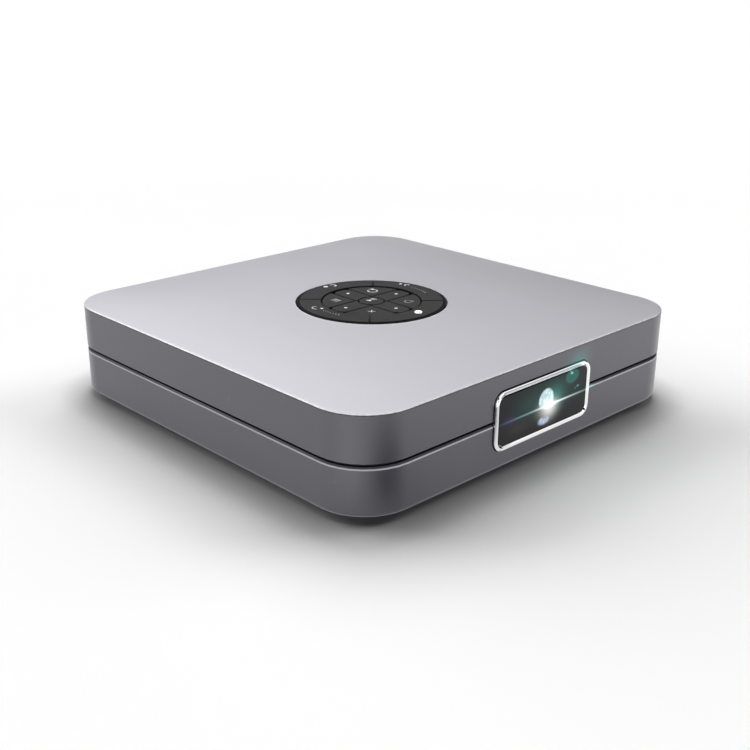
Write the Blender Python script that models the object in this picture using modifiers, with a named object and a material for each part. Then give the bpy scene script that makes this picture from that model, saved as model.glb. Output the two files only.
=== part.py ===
"""Mini projector: a square, palm-sized projector with a round keypad in its top cover.

The silver top cover lies on two dark grey casing halves, which meet at a parting line.
A chrome frame with a glass window spans that line in front, and a port panel closes the
back. Inside are the focusing lens, the light engine with its cooling, the battery and
the main board. Units are metres, +Z is up and the lens looks along -Y. The origin lies
under the middle of the body, on the surface that the feet stand on.
"""

import math

import bmesh
import bpy
from mathutils import Matrix, Vector

# Counts and angles
CORNER_STEPS = 8
SIDE_STEPS = 10
ROUND_STEPS = 24
LARGE_ROUND_STEPS = 48
SMALL_ROUND_STEPS = 12
FILLET_STEPS = 3
SMALL_FILLET_STEPS = 2
QUARTER = math.pi / 2
KEY_DIRECTIONS = {"right": 0, "back": 1, "left": 2, "front": 3}
CORNER_DIRECTIONS = {"back_right": 0, "back_left": 1, "front_left": 2, "front_right": 3}
CORNER_SIGNS = ((1, 1), (-1, 1), (-1, -1), (1, -1))

# Fits shared by all pieces
CLEARANCE = 0.0003
OVERRUN = 0.001
WELD = 0.000001
WALL_SLOPE_SHARE = 0.5
ROUND_PROFILE_SHARE = 0.5
MATRIX_SIZE = 4

# Body
BODY_WIDTH = 0.150
BODY_DEPTH = 0.1505
BODY_HEIGHT = 0.0305
CORNER_RADIUS = 0.017
CASING_WALL = 0.002
FLOOR_THICKNESS = 0.002
BOTTOM_ROUNDING = 0.0014
PARTING_HEIGHT = 0.0153
PARTING_GAP = 0.0009
PARTING_ROUNDING = 0.0011
TONGUE_HEIGHT = 0.0025
TONGUE_THICKNESS = 0.0008
DECK_THICKNESS = 0.002

# Top cover
COVER_EDGE = 0.0003
COVER_ROLL_WIDTH = 0.001
COVER_ROLL_HEIGHT = 0.00025
COVER_CROWN = 0.0007
COVER_HOLE_GAP = 0.00055
COVER_BLEND_SHARES = (0.3, 0.65, 1)

# Feet, screws and the bosses that they stand in
FOOT_STAND = 0.002
FOOT_RADIUS = 0.005
FOOT_RECESS = 0.0008
FOOT_ROUNDING = 0.0004
FOOT_INSET = 0.025
BOSS_INSET = 0.015
LOWER_BOSS_RADIUS = 0.004
UPPER_BOSS_RADIUS = 0.0035
BOSS_MEETING_DROP = 0.001
SCREW_SHANK_RADIUS = 0.001
SCREW_HEAD_RADIUS = 0.0024
SCREW_HEAD_HEIGHT = 0.0016
SCREW_HEAD_RECESS = 0.0012
SCREW_LENGTH = 0.019
SCREW_SLOT = 0.0007

# Tripod socket, a quarter-inch thread's hole
SOCKET_RADIUS = 0.003175
SOCKET_DEPTH = 0.006
NUT_RADIUS = 0.005
NUT_BOSS_WALL = 0.002

# Keypad
KEYPAD_RISE = 0.0011
INNER_KEYS_DROP = 0.0003
RIM_DROP = 0.0003
RIM_WALL = 0.0005
ARM_KEYS_RADIUS = 0.0165
RING_TO_ARM_GAP = 0.0009
RING_KEY_WIDTH = 0.00745
ARM_KEY_WIDTH = 0.0076
ARM_END_RADIUS = 0.0026
CENTRE_KEY_RADIUS = 0.0043
KEY_GAP = 0.0004
KEY_ROUNDING = 0.00025
KEY_TRAVEL = 0.00025
KEYPAD_FLOOR = 0.0008
DECK_LEDGE_WIDTH = 0.0017
KEYPAD_POCKET_DEPTH = 0.0012
STEM_RADIUS = 0.0012
RING_STEM_INSET = 0.0043
RING_STEM_TURN = math.radians(14)
ARM_STEM_INSET = 0.0045
CORNER_STEM_OFFSET = 0.0084
LIGHT_RADIUS = 0.0012
LIGHT_STAND = 0.00015
LIGHT_INSET = 0.0034
LIGHT_TURN = math.radians(-85)
DOME_RADIUS = 0.0016
DOME_HEIGHT = 0.0004
DOME_SHEET_THICKNESS = 0.0008
DOME_SHEET_INSET = 0.0006
BOARD_THICKNESS = 0.001
BOARD_SEAT_WALL = 0.0018
KEYPAD_BOARD_OVERHANG = 0.0005

# Chrome frame and window
FRAME_WIDTH = 0.0454
FRAME_HEIGHT = 0.0188
FRAME_CENTRE_HEIGHT = 0.01526
FRAME_CORNER_RADIUS = 0.0038
FRAME_STAND = 0.001
FRAME_DEPTH = 0.004
FRAME_RIM = 0.0014
FRAME_CHAMFER = 0.0004
FRAME_LEDGE = 0.0005
WINDOW_THICKNESS = 0.001
WINDOW_RECESS = 0.0003

# Focusing lens
LENS_OFFSET_X = 0.0018
LENS_DROP = 0.0013
LENS_RADIUS = 0.0053
LENS_THICKNESS = 0.003
LENS_DOME = 0.0008
REAR_LENS_THICKNESS = 0.0022
BARREL_FRONT_GAP = 0.0004
BARREL_LENGTH = 0.0165
BARREL_NECK_LENGTH = 0.003
BARREL_NECK_RADIUS = 0.0059
BARREL_RADIUS = 0.0074
BARREL_BORE_RADIUS = 0.0048
CARRIAGE_THICKNESS = 0.0035
CARRIAGE_HEIGHT = 0.013
CARRIAGE_EAR = 0.0022
CARRIAGE_ROUNDING = 0.002
GUIDE_OFFSET = 0.0105
GUIDE_RIGHT_DROP = 0.004
GUIDE_RADIUS = 0.001
GUIDE_START_GAP = 0.0007
GUIDE_GRIP = 0.003
SCREW_RISE = 0.003
FOCUS_SCREW_RADIUS = 0.001
FOCUS_MOTOR_RADIUS = 0.004
FOCUS_MOTOR_SOCKET = 0.0018
FOCUS_TRAVEL = 0.001

# Light engine
ENGINE_WIDTH = 0.040
ENGINE_DEPTH = 0.033
ENGINE_HEIGHT = 0.0202
ENGINE_WALL = 0.005
ENGINE_FLOOR = 0.003
ENGINE_MOTOR_ROOM = 0.0065
ENGINE_BORE_RADIUS = 0.0055
ENGINE_LID_THICKNESS = 0.0012
PRISM_SIDE = 0.013
PRISM_HEIGHT = 0.012
CHIP_WIDTH = 0.013
CHIP_HEIGHT = 0.010
CHIP_THICKNESS = 0.002
CHIP_BOARD_WIDTH = 0.030
CHIP_BOARD_HEIGHT = 0.019
LAMP_GAP = 0.001
LAMP_PLATE_THICKNESS = 0.0016
LAMP_EMITTER_RADIUS = 0.003
LAMP_EMITTER_LENGTH = 0.0025

# Cooling
PIPE_RADIUS = 0.0018
PIPE_BEND_RADIUS = 0.004
PIPE_BEND_STEPS = 6
SINK_BASE = 0.002
SINK_FAN_GAP = 0.004
SINK_DEPTH = 0.026
SINK_HEIGHT = 0.0215
FIN_COUNT = 7
FIN_THICKNESS = 0.001
FAN_SIZE = 0.025
FAN_THICKNESS = 0.010
FAN_WALL = 0.0007
FAN_TIP_GAP = 0.0005
FAN_BOSS_GAP = 0.00675
FAN_WALL_GAP = 0.0005
FAN_HUB_RADIUS = 0.0048
FAN_HUB_LENGTH = 0.0062
FAN_CARRIER_THICKNESS = 0.002
FAN_STRUT_WIDTH = 0.0018
FAN_PIN_RADIUS = 0.0008
BLADE_COUNT = 7
BLADE_THICKNESS = 0.0007
BLADE_CHORD = 0.0062
BLADE_PITCH = math.radians(38)
VENT_WIDTH = 0.0016
VENT_PITCH = 0.0032
VENT_COUNT = 8
VENT_MARGIN = 0.0025
INTAKE_LENGTH = 0.014
INTAKE_COUNT = 6
INTAKE_PLACE_X = 0.040
INTAKE_SINK_GAP = 0.008

# Battery and speaker
BATTERY_HEIGHT = 0.017
BATTERY_ROUNDING = 0.003
BATTERY_WALL_GAP = 0.0008
BATTERY_BOARD_GAP = 0.012
BATTERY_BOSS_GAP = 0.006
BATTERY_SPEAKER_GAP = 0.014
SPEAKER_RADIUS = 0.013
SPEAKER_HEIGHT = 0.008
SPEAKER_CONE_RADIUS = 0.010
SPEAKER_MAGNET_RADIUS = 0.007
SPEAKER_BASKET_HEIGHT = 0.003
SPEAKER_INSET_X = 0.029
SPEAKER_INSET_Y = 0.037
GRILLE_HOLE_RADIUS = 0.001
GRILLE_RING_RADIUS = 0.005
GRILLE_RING_COUNT = 6

# Main board and its connectors
MAIN_BOARD_WIDTH = 0.066
MAIN_BOARD_THICKNESS = 0.0012
MAIN_BOARD_WALL_GAP = 0.003
MAIN_BOARD_BOSS_GAP = 0.003
MAIN_BOARD_NUT_GAP = 0.007
STANDOFF_HEIGHT = 0.0018
STANDOFF_RADIUS = 0.0025
STANDOFF_INSET = 0.004
PANEL_MARGIN = 0.003
PANEL_HEIGHT = 0.0108
PANEL_ROUNDING = 0.0015
PANEL_RAISE = 0.0014
SHELL_WALL = 0.0004
HDMI_WIDTH = 0.015
HDMI_HEIGHT = 0.0055
HDMI_TAPER = 0.0018
HDMI_DEPTH = 0.0118
HDMI_FROM_BOARD_LEFT = 0.015
HDMI_TONGUE_WIDTH = 0.011
HDMI_TONGUE_THICKNESS = 0.0014
USB_WIDTH = 0.0131
USB_HEIGHT = 0.0059
USB_DEPTH = 0.014
USB_FROM_BOARD_LEFT = 0.0325
USB_TONGUE_WIDTH = 0.0105
USB_TONGUE_THICKNESS = 0.0018
TONGUE_SETBACK = 0.001
CONNECTOR_BACK = 0.0012
AUDIO_BODY_SIZE = 0.0062
AUDIO_BODY_DEPTH = 0.0115
AUDIO_COLLAR_RADIUS = 0.0029
AUDIO_BORE_RADIUS = 0.00185
AUDIO_FROM_BOARD_LEFT = 0.045
POWER_BODY_SIZE = 0.008
POWER_BODY_DEPTH = 0.0125
POWER_COLLAR_RADIUS = 0.0038
POWER_BORE_RADIUS = 0.00285
POWER_PIN_RADIUS = 0.0008
POWER_FROM_BOARD_LEFT = 0.0545
SWITCH_BODY_WIDTH = 0.0088
SWITCH_BODY_HEIGHT = 0.0038
SWITCH_BODY_DEPTH = 0.0045
SWITCH_FROM_BOARD_LEFT = 0.0015
SWITCH_TRAVEL = 0.0022
SWITCH_KNOB_WIDTH = 0.0026
SWITCH_KNOB_HEIGHT = 0.0018
SWITCH_KNOB_STAND = 0.001

# Levels and faces that several pieces share
BODY_BOTTOM = FOOT_STAND
BODY_TOP = BODY_BOTTOM + BODY_HEIGHT
FLOOR_TOP = BODY_BOTTOM + FLOOR_THICKNESS
FLOOR_SEAT = FLOOR_TOP + CLEARANCE
PARTING_TOP = BODY_BOTTOM + PARTING_HEIGHT
UPPER_BOTTOM = PARTING_TOP + PARTING_GAP
TONGUE_TOP = PARTING_TOP + TONGUE_HEIGHT
COVER_BOTTOM = BODY_TOP - COVER_EDGE
DECK_TOP = COVER_BOTTOM - CLEARANCE
DECK_BOTTOM = DECK_TOP - DECK_THICKNESS
KEYPAD_TOP = BODY_TOP + KEYPAD_RISE
RING_INNER_RADIUS = ARM_KEYS_RADIUS + RING_TO_ARM_GAP
RING_STEM_RADIUS = RING_INNER_RADIUS + RING_STEM_INSET
ARM_STEM_RADIUS = ARM_KEYS_RADIUS - ARM_STEM_INSET
LIGHT_PLACE_RADIUS = RING_INNER_RADIUS + LIGHT_INSET
KEYPAD_RADIUS = RING_INNER_RADIUS + RING_KEY_WIDTH + CLEARANCE + RIM_WALL
COVER_HOLE_RADIUS = KEYPAD_RADIUS + COVER_HOLE_GAP
KEYPAD_HOLE_RADIUS = KEYPAD_RADIUS + CLEARANCE
KEYPAD_SEAT = DECK_TOP - KEYPAD_POCKET_DEPTH
KEYPAD_FLOOR_BOTTOM = KEYPAD_SEAT + CLEARANCE
KEYPAD_FLOOR_TOP = KEYPAD_FLOOR_BOTTOM + KEYPAD_FLOOR
KEY_BOTTOM = KEYPAD_FLOOR_TOP + KEY_TRAVEL + CLEARANCE
DECK_HOLE_RADIUS = KEYPAD_HOLE_RADIUS - DECK_LEDGE_WIDTH
BOARD_TOP = DECK_BOTTOM - BOARD_SEAT_WALL
KEYPAD_BOARD_RADIUS = DECK_HOLE_RADIUS + BOARD_SEAT_WALL + KEYPAD_BOARD_OVERHANG
DOME_SHEET_TOP = BOARD_TOP + CLEARANCE + DOME_SHEET_THICKNESS
DOME_TOP = DOME_SHEET_TOP + DOME_HEIGHT
STEM_BOTTOM = DOME_TOP + KEY_TRAVEL + CLEARANCE
FACE_Y = -BODY_DEPTH / 2
INNER_FACE_Y = FACE_Y + CASING_WALL
BACK_Y = BODY_DEPTH / 2
INNER_RIGHT = BODY_WIDTH / 2 - CASING_WALL
INNER_LEFT = -INNER_RIGHT
INNER_BACK_Y = BACK_Y - CASING_WALL
FRAME_CENTRE_Z = BODY_BOTTOM + FRAME_CENTRE_HEIGHT
FRAME_FRONT_Y = FACE_Y - FRAME_STAND
WINDOW_BACK_Y = FRAME_FRONT_Y + WINDOW_RECESS + WINDOW_THICKNESS
LENS_X = LENS_OFFSET_X
LENS_Z = FRAME_CENTRE_Z - LENS_DROP
BARREL_FRONT_Y = WINDOW_BACK_Y + BARREL_FRONT_GAP
BARREL_BACK_Y = BARREL_FRONT_Y + BARREL_LENGTH
ENGINE_FRONT_Y = BARREL_BACK_Y + FOCUS_TRAVEL + ENGINE_MOTOR_ROOM
ENGINE_BACK_Y = ENGINE_FRONT_Y + ENGINE_DEPTH
ENGINE_LEFT = LENS_X - ENGINE_WIDTH / 2
ENGINE_RIGHT = LENS_X + ENGINE_WIDTH / 2
ENGINE_TOP = FLOOR_SEAT + ENGINE_HEIGHT
ENGINE_CENTRE_Y = (ENGINE_FRONT_Y + ENGINE_BACK_Y) / 2
CHIP_BOARD_FRONT_Y = ENGINE_BACK_Y + CLEARANCE
CHIP_BOARD_BACK_Y = CHIP_BOARD_FRONT_Y + BOARD_THICKNESS
NUT_POCKET_RADIUS = NUT_RADIUS + CLEARANCE
NUT_BOSS_RADIUS = NUT_POCKET_RADIUS + NUT_BOSS_WALL
NUT_PLACE_Y = CHIP_BOARD_BACK_Y + CLEARANCE + NUT_BOSS_RADIUS
LAMP_BACK_X = ENGINE_RIGHT + CLEARANCE + LAMP_PLATE_THICKNESS
PIPE_X = LAMP_BACK_X + CLEARANCE + PIPE_RADIUS
SINK_LEFT = PIPE_X + PIPE_RADIUS + CLEARANCE
BOSS_FRONT_Y = BOSS_INSET + LOWER_BOSS_RADIUS - BODY_DEPTH / 2
BOSS_BACK_Y = -BOSS_FRONT_Y
BOSS_RIGHT = BODY_WIDTH / 2 - BOSS_INSET - LOWER_BOSS_RADIUS
FAN_RIGHT = INNER_RIGHT - FAN_WALL_GAP
FAN_LEFT = FAN_RIGHT - FAN_THICKNESS
FAN_CENTRE_Y = BOSS_FRONT_Y + FAN_BOSS_GAP + FAN_SIZE / 2
SINK_BACK_Y = FAN_CENTRE_Y + SINK_DEPTH / 2
INTAKE_FRONT_Y = SINK_BACK_Y + INTAKE_SINK_GAP
SPEAKER_X = SPEAKER_INSET_X - BODY_WIDTH / 2
SPEAKER_Y = SPEAKER_INSET_Y - BODY_DEPTH / 2
FAN_CENTRE_Z = FLOOR_SEAT + FAN_SIZE / 2
FAN_BORE_RADIUS = FAN_SIZE / 2 - FAN_WALL
MAIN_BOARD_BOTTOM = FLOOR_TOP + STANDOFF_HEIGHT + CLEARANCE
MAIN_BOARD_TOP = MAIN_BOARD_BOTTOM + MAIN_BOARD_THICKNESS
CONNECTOR_BOTTOM = MAIN_BOARD_TOP + CLEARANCE
MAIN_BOARD_BACK_Y = INNER_BACK_Y - MAIN_BOARD_WALL_GAP
MAIN_BOARD_FRONT_Y = NUT_PLACE_Y + NUT_BOSS_RADIUS + MAIN_BOARD_NUT_GAP
MAIN_BOARD_DEPTH = MAIN_BOARD_BACK_Y - MAIN_BOARD_FRONT_Y
MAIN_BOARD_RIGHT = BOSS_RIGHT - MAIN_BOARD_BOSS_GAP
MAIN_BOARD_LEFT = MAIN_BOARD_RIGHT - MAIN_BOARD_WIDTH
MAIN_BOARD_CENTRE_X = (MAIN_BOARD_LEFT + MAIN_BOARD_RIGHT) / 2
PANEL_WIDTH = MAIN_BOARD_WIDTH + 2 * PANEL_MARGIN
BATTERY_LEFT = INNER_LEFT + BATTERY_WALL_GAP
BATTERY_RIGHT = MAIN_BOARD_LEFT - BATTERY_BOARD_GAP
BATTERY_FRONT_Y = SPEAKER_Y + SPEAKER_RADIUS + BATTERY_SPEAKER_GAP
BATTERY_BACK_Y = BOSS_BACK_Y - BATTERY_BOSS_GAP
PANEL_CENTRE_Z = BODY_BOTTOM + PANEL_RAISE + FLOOR_THICKNESS + PANEL_HEIGHT / 2

# Turns that lay a shape's height along another direction
TO_FRONT = (QUARTER, 0, 0)
TO_BACK = (-QUARTER, 0, 0)
TO_RIGHT = (0, QUARTER, 0)
UPRIGHT = (0, 0, 0)


def clear_scene():
    """Removes whatever the file holds before modelling."""
    for item in list(bpy.data.objects):
        bpy.data.objects.remove(item, do_unlink=True)


def new_collection(name):
    """A collection in the scene."""
    group = bpy.data.collections.new(name)
    bpy.context.scene.collection.children.link(group)
    return group


def finish(name, colour, roughness, metallic=0.0):
    """A plain material for one kind of surface."""
    material = bpy.data.materials.new(name)
    material.use_nodes = True
    shader = material.node_tree.nodes["Principled BSDF"]
    shader.inputs["Base Color"].default_value = (*colour, 1.0)
    shader.inputs["Roughness"].default_value = roughness
    shader.inputs["Metallic"].default_value = metallic
    return material


def add(name, mesh, material, place=(0, 0, 0), turn=UPRIGHT):
    """An object for a mesh, as a piece of the projector or, without a material, as a tool."""
    piece = bpy.data.objects.new(name, mesh)
    piece.location = place
    piece.rotation_euler = turn
    if material is None:
        cutters.objects.link(piece)
        piece.hide_render = True
        piece.display_type = "WIRE"
    else:
        parts.objects.link(piece)
        mesh.materials.append(material)
    return piece


def apply_boolean(piece, tool, operation):
    """Lets one object cut or join another."""
    change = piece.modifiers.new(tool.name, "BOOLEAN")
    change.operation = operation
    change.solver = "EXACT"
    change.object = tool


def cut(piece, *tools):
    """Takes each tool's volume out of the piece."""
    for tool in tools:
        apply_boolean(piece, tool, "DIFFERENCE")


def join(piece, *tools):
    """Adds each tool's volume to the piece."""
    for tool in tools:
        apply_boolean(piece, tool, "UNION")


def mesh_from(name, build):
    """A mesh that a bmesh function fills."""
    shape = bmesh.new()
    build(shape)
    mesh = bpy.data.meshes.new(name)
    shape.to_mesh(mesh)
    shape.free()
    return mesh


def smooth(mesh, angle=math.radians(35)):
    """Smooth shading that keeps the sharp edges."""
    mesh.shade_smooth()
    mesh.set_sharp_from_angle(angle=angle)


def block(name, low, high, material=None):
    """A box between two opposite corners."""
    size = [upper - lower for lower, upper in zip(low, high)]
    centre = [(lower + upper) / 2 for lower, upper in zip(low, high)]

    def build(shape):
        bmesh.ops.create_cube(shape, size=1)
        bmesh.ops.scale(shape, vec=size, verts=shape.verts)

    return add(name, mesh_from(name, build), material, centre)


def rod(name, radius, length, place, turn=UPRIGHT, material=None, steps=ROUND_STEPS):
    """A cylinder whose lower end is at its place."""

    def build(shape):
        middle = Matrix.Translation((0, 0, length / 2))
        bmesh.ops.create_cone(
            shape,
            cap_ends=True,
            segments=steps,
            radius1=radius,
            radius2=radius,
            depth=length,
            matrix=middle,
        )

    mesh = mesh_from(name, build)
    smooth(mesh)
    return add(name, mesh, material, place, turn)


def rods(name, radius, length, places, material=None, steps=SMALL_ROUND_STEPS):
    """Several upright cylinders in one object, each standing on its place."""

    def build(shape):
        for place in places:
            middle = Matrix.Translation(Vector(place) + Vector((0, 0, length / 2)))
            bmesh.ops.create_cone(
                shape,
                cap_ends=True,
                segments=steps,
                radius1=radius,
                radius2=radius,
                depth=length,
                matrix=middle,
            )

    return add(name, mesh_from(name, build), material)


def blocks(name, boxes):
    """Several boxes in one cutting tool, each given by its two corners."""

    def build(shape):
        for low, high in boxes:
            size = [upper - lower for lower, upper in zip(low, high)]
            centre = [(lower + upper) / 2 for lower, upper in zip(low, high)]
            matrix = Matrix.Translation(centre) @ Matrix.Diagonal((*size, 1))
            bmesh.ops.create_cube(shape, size=1, matrix=matrix)

    return add(name, mesh_from(name, build), None)


def turned(name, profile, place, turn=UPRIGHT, material=None, steps=ROUND_STEPS, ring=False):
    """A profile of (radius, height) points, from the top down its outside, turned round."""
    mesh = bpy.data.meshes.new(name)
    points = [(radius, 0, height) for radius, height in profile]
    edges = [(index, index + 1) for index in range(len(points) - 1)]
    if ring:
        edges.append((len(points) - 1, 0))
    mesh.from_pydata(points, edges, [])
    piece = add(name, mesh, material, place, turn)
    screw = piece.modifiers.new("turn", "SCREW")
    screw.steps = steps
    screw.render_steps = steps
    screw.use_merge_vertices = True
    screw.merge_threshold = WELD
    screw.use_smooth_shade = True
    return piece


def flat_mesh(name, outlines, thickness):
    """A filled 2D curve pulled to a thickness about its plane; inner outlines are holes."""
    curve = bpy.data.curves.new(name, "CURVE")
    curve.dimensions = "2D"
    curve.fill_mode = "BOTH"
    curve.extrude = thickness / 2
    for outline in outlines:
        spline = curve.splines.new("POLY")
        spline.points.add(len(outline) - 1)
        for point, (x, y) in zip(spline.points, outline):
            point.co = (x, y, 0, 1)
        spline.use_cyclic_u = True
    holder = bpy.data.objects.new(name, curve)
    bpy.context.scene.collection.objects.link(holder)
    graph = bpy.context.evaluated_depsgraph_get()
    mesh = bpy.data.meshes.new_from_object(holder.evaluated_get(graph))
    bpy.data.objects.remove(holder)
    bpy.data.curves.remove(curve)
    shape = bmesh.new()
    shape.from_mesh(mesh)
    bmesh.ops.remove_doubles(shape, verts=shape.verts, dist=WELD)
    bmesh.ops.dissolve_limit(
        shape, angle_limit=math.radians(1), verts=shape.verts, edges=shape.edges
    )
    bmesh.ops.recalc_face_normals(shape, faces=shape.faces)
    shape.to_mesh(mesh)
    shape.free()
    return mesh


def round_rim(mesh, height, width, segments=FILLET_STEPS):
    """Rounds the rim edges that lie at one height of a flat mesh."""
    shape = bmesh.new()
    shape.from_mesh(mesh)
    rim = [
        edge
        for edge in shape.edges
        if all(abs(corner.co.z - height) < WELD for corner in edge.verts)
        and any(abs(face.normal.z) < WALL_SLOPE_SHARE for face in edge.link_faces)
    ]
    bmesh.ops.bevel(
        shape,
        geom=rim,
        offset=width,
        offset_type="OFFSET",
        segments=segments,
        profile=ROUND_PROFILE_SHARE,
        affect="EDGES",
        clamp_overlap=True,
    )
    shape.to_mesh(mesh)
    shape.free()


def slab(name, outlines, low, high, material=None, top=0, bottom=0, segments=FILLET_STEPS):
    """A flat outline standing between two heights, with its top or bottom rim rounded."""
    thickness = high - low
    mesh = flat_mesh(name, outlines, thickness)
    if top:
        round_rim(mesh, thickness / 2, top, segments)
    if bottom:
        round_rim(mesh, -thickness / 2, bottom, segments)
    smooth(mesh)
    return add(name, mesh, material, (0, 0, (low + high) / 2))


def upright_slab(name, outlines, front, back, material=None, front_rounding=0):
    """A flat outline drawn in X and Z, standing between two depths."""
    thickness = back - front
    mesh = flat_mesh(name, outlines, thickness)
    if front_rounding:
        round_rim(mesh, thickness / 2, front_rounding, 1)
    smooth(mesh)
    return add(name, mesh, material, (0, (front + back) / 2, 0), TO_FRONT)


def arc(middle, radius, start, end, steps):
    """Points along a round stretch, both ends included."""
    turns = [start + (end - start) * step / steps for step in range(steps + 1)]
    return [
        (middle[0] + radius * math.cos(turn), middle[1] + radius * math.sin(turn))
        for turn in turns
    ]


def rounded_rectangle(width, depth, radius, centre=(0, 0), steps=CORNER_STEPS):
    """Four corner arcs, anticlockwise from the right-hand side."""
    points = []
    for quarter, (across, along) in enumerate(CORNER_SIGNS):
        middle = (
            centre[0] + across * (width / 2 - radius),
            centre[1] + along * (depth / 2 - radius),
        )
        points += arc(middle, radius, QUARTER * quarter, QUARTER * (quarter + 1), steps)
    return points


def circle(radius, centre=(0, 0), steps=ROUND_STEPS):
    """Points round a circle."""
    return arc(centre, radius, 0, 2 * math.pi, steps)[:-1]


def body_outline(inset):
    """The body's plan, drawn in by an inset all round."""
    return rounded_rectangle(
        BODY_WIDTH - 2 * inset, BODY_DEPTH - 2 * inset, CORNER_RADIUS - inset
    )


def with_side_points(outline, steps):
    """An outline whose long sides get points at equal turns about the middle."""
    points = []
    for start, end in zip(outline, outline[1:] + outline[:1]):
        points.append(start)
        start_turn = math.atan2(start[1], start[0])
        sweep = (math.atan2(end[1], end[0]) - start_turn) % (2 * math.pi)
        if sweep < QUARTER / 2:
            continue
        for step in range(1, steps):
            turn = start_turn + sweep * step / steps
            across = start[0] * (end[1] - start[1]) - start[1] * (end[0] - start[0])
            along = math.cos(turn) * (end[1] - start[1]) - math.sin(turn) * (end[0] - start[0])
            points.append((math.cos(turn) * across / along, math.sin(turn) * across / along))
    return points


def loft(name, rings, material, place=(0, 0, 0), turn=UPRIGHT):
    """A closed band through rings of equally many points, the last joined to the first."""
    count = len(rings[0])

    def build(shape):
        rows = [[shape.verts.new(point) for point in ring] for ring in rings]
        for row, following in zip(rows, rows[1:] + rows[:1]):
            for index in range(count):
                after = (index + 1) % count
                shape.faces.new((row[index], row[after], following[after], following[index]))
        bmesh.ops.recalc_face_normals(shape, faces=shape.faces)

    mesh = mesh_from(name, build)
    smooth(mesh)
    return add(name, mesh, material, place, turn)


def corner_places(inset):
    """The four places at one inset from the body's sides."""
    return [
        (across * (BODY_WIDTH / 2 - inset), along * (BODY_DEPTH / 2 - inset))
        for across, along in CORNER_SIGNS
    ]


def corner_names(stem):
    """A name for each of the four corners, in the order of the places."""
    return [f"{stem}_{direction}" for direction in CORNER_DIRECTIONS]


def polar(radius, turn):
    """The plan point at a radius and turn from the keypad's middle."""
    return (radius * math.cos(turn), radius * math.sin(turn))


def make_top_cover():
    """Silver plate: a rounded square edge that swells to the round keypad opening."""
    edge = with_side_points(body_outline(0), SIDE_STEPS)
    hole = [polar(COVER_HOLE_RADIUS, math.atan2(y, x)) for x, y in edge]

    def ring(points, height):
        return [(x, y, height) for x, y in points]

    rings = [ring(edge, COVER_BOTTOM)]
    for step in range(FILLET_STEPS + 1):
        lift = QUARTER * step / FILLET_STEPS
        inset = COVER_ROLL_WIDTH * (1 - math.cos(lift))
        height = BODY_TOP - COVER_ROLL_HEIGHT * (1 - math.sin(lift))
        rings.append(ring(with_side_points(body_outline(inset), SIDE_STEPS), height))
    shoulder = with_side_points(body_outline(COVER_ROLL_WIDTH), SIDE_STEPS)
    for share in COVER_BLEND_SHARES:
        blend = [
            (x + (far_x - x) * share, y + (far_y - y) * share)
            for (x, y), (far_x, far_y) in zip(shoulder, hole)
        ]
        rings.append(ring(blend, BODY_TOP + COVER_CROWN * (1 - (1 - share) ** 2)))
    rings.append(ring(hole, COVER_BOTTOM))
    return loft("top_cover", rings, silver)


def frame_opening(name):
    """The cut through the front wall that takes the chrome frame."""
    width = FRAME_WIDTH + 2 * CLEARANCE
    height = FRAME_HEIGHT + 2 * CLEARANCE
    outline = rounded_rectangle(
        width, height, FRAME_CORNER_RADIUS + CLEARANCE, (0, FRAME_CENTRE_Z)
    )
    return upright_slab(name, [outline], FACE_Y - OVERRUN, INNER_FACE_Y + OVERRUN)


def vent_slots(name, low, high):
    """Upright slots through the right-hand wall, in front of the fan."""
    first = FAN_CENTRE_Y - VENT_PITCH * (VENT_COUNT - 1) / 2
    boxes = []
    for index in range(VENT_COUNT):
        middle = first + VENT_PITCH * index
        boxes.append(
            (
                (INNER_RIGHT - OVERRUN, middle - VENT_WIDTH / 2, low),
                (BODY_WIDTH / 2 + OVERRUN, middle + VENT_WIDTH / 2, high),
            )
        )
    return blocks(name, boxes)


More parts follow.
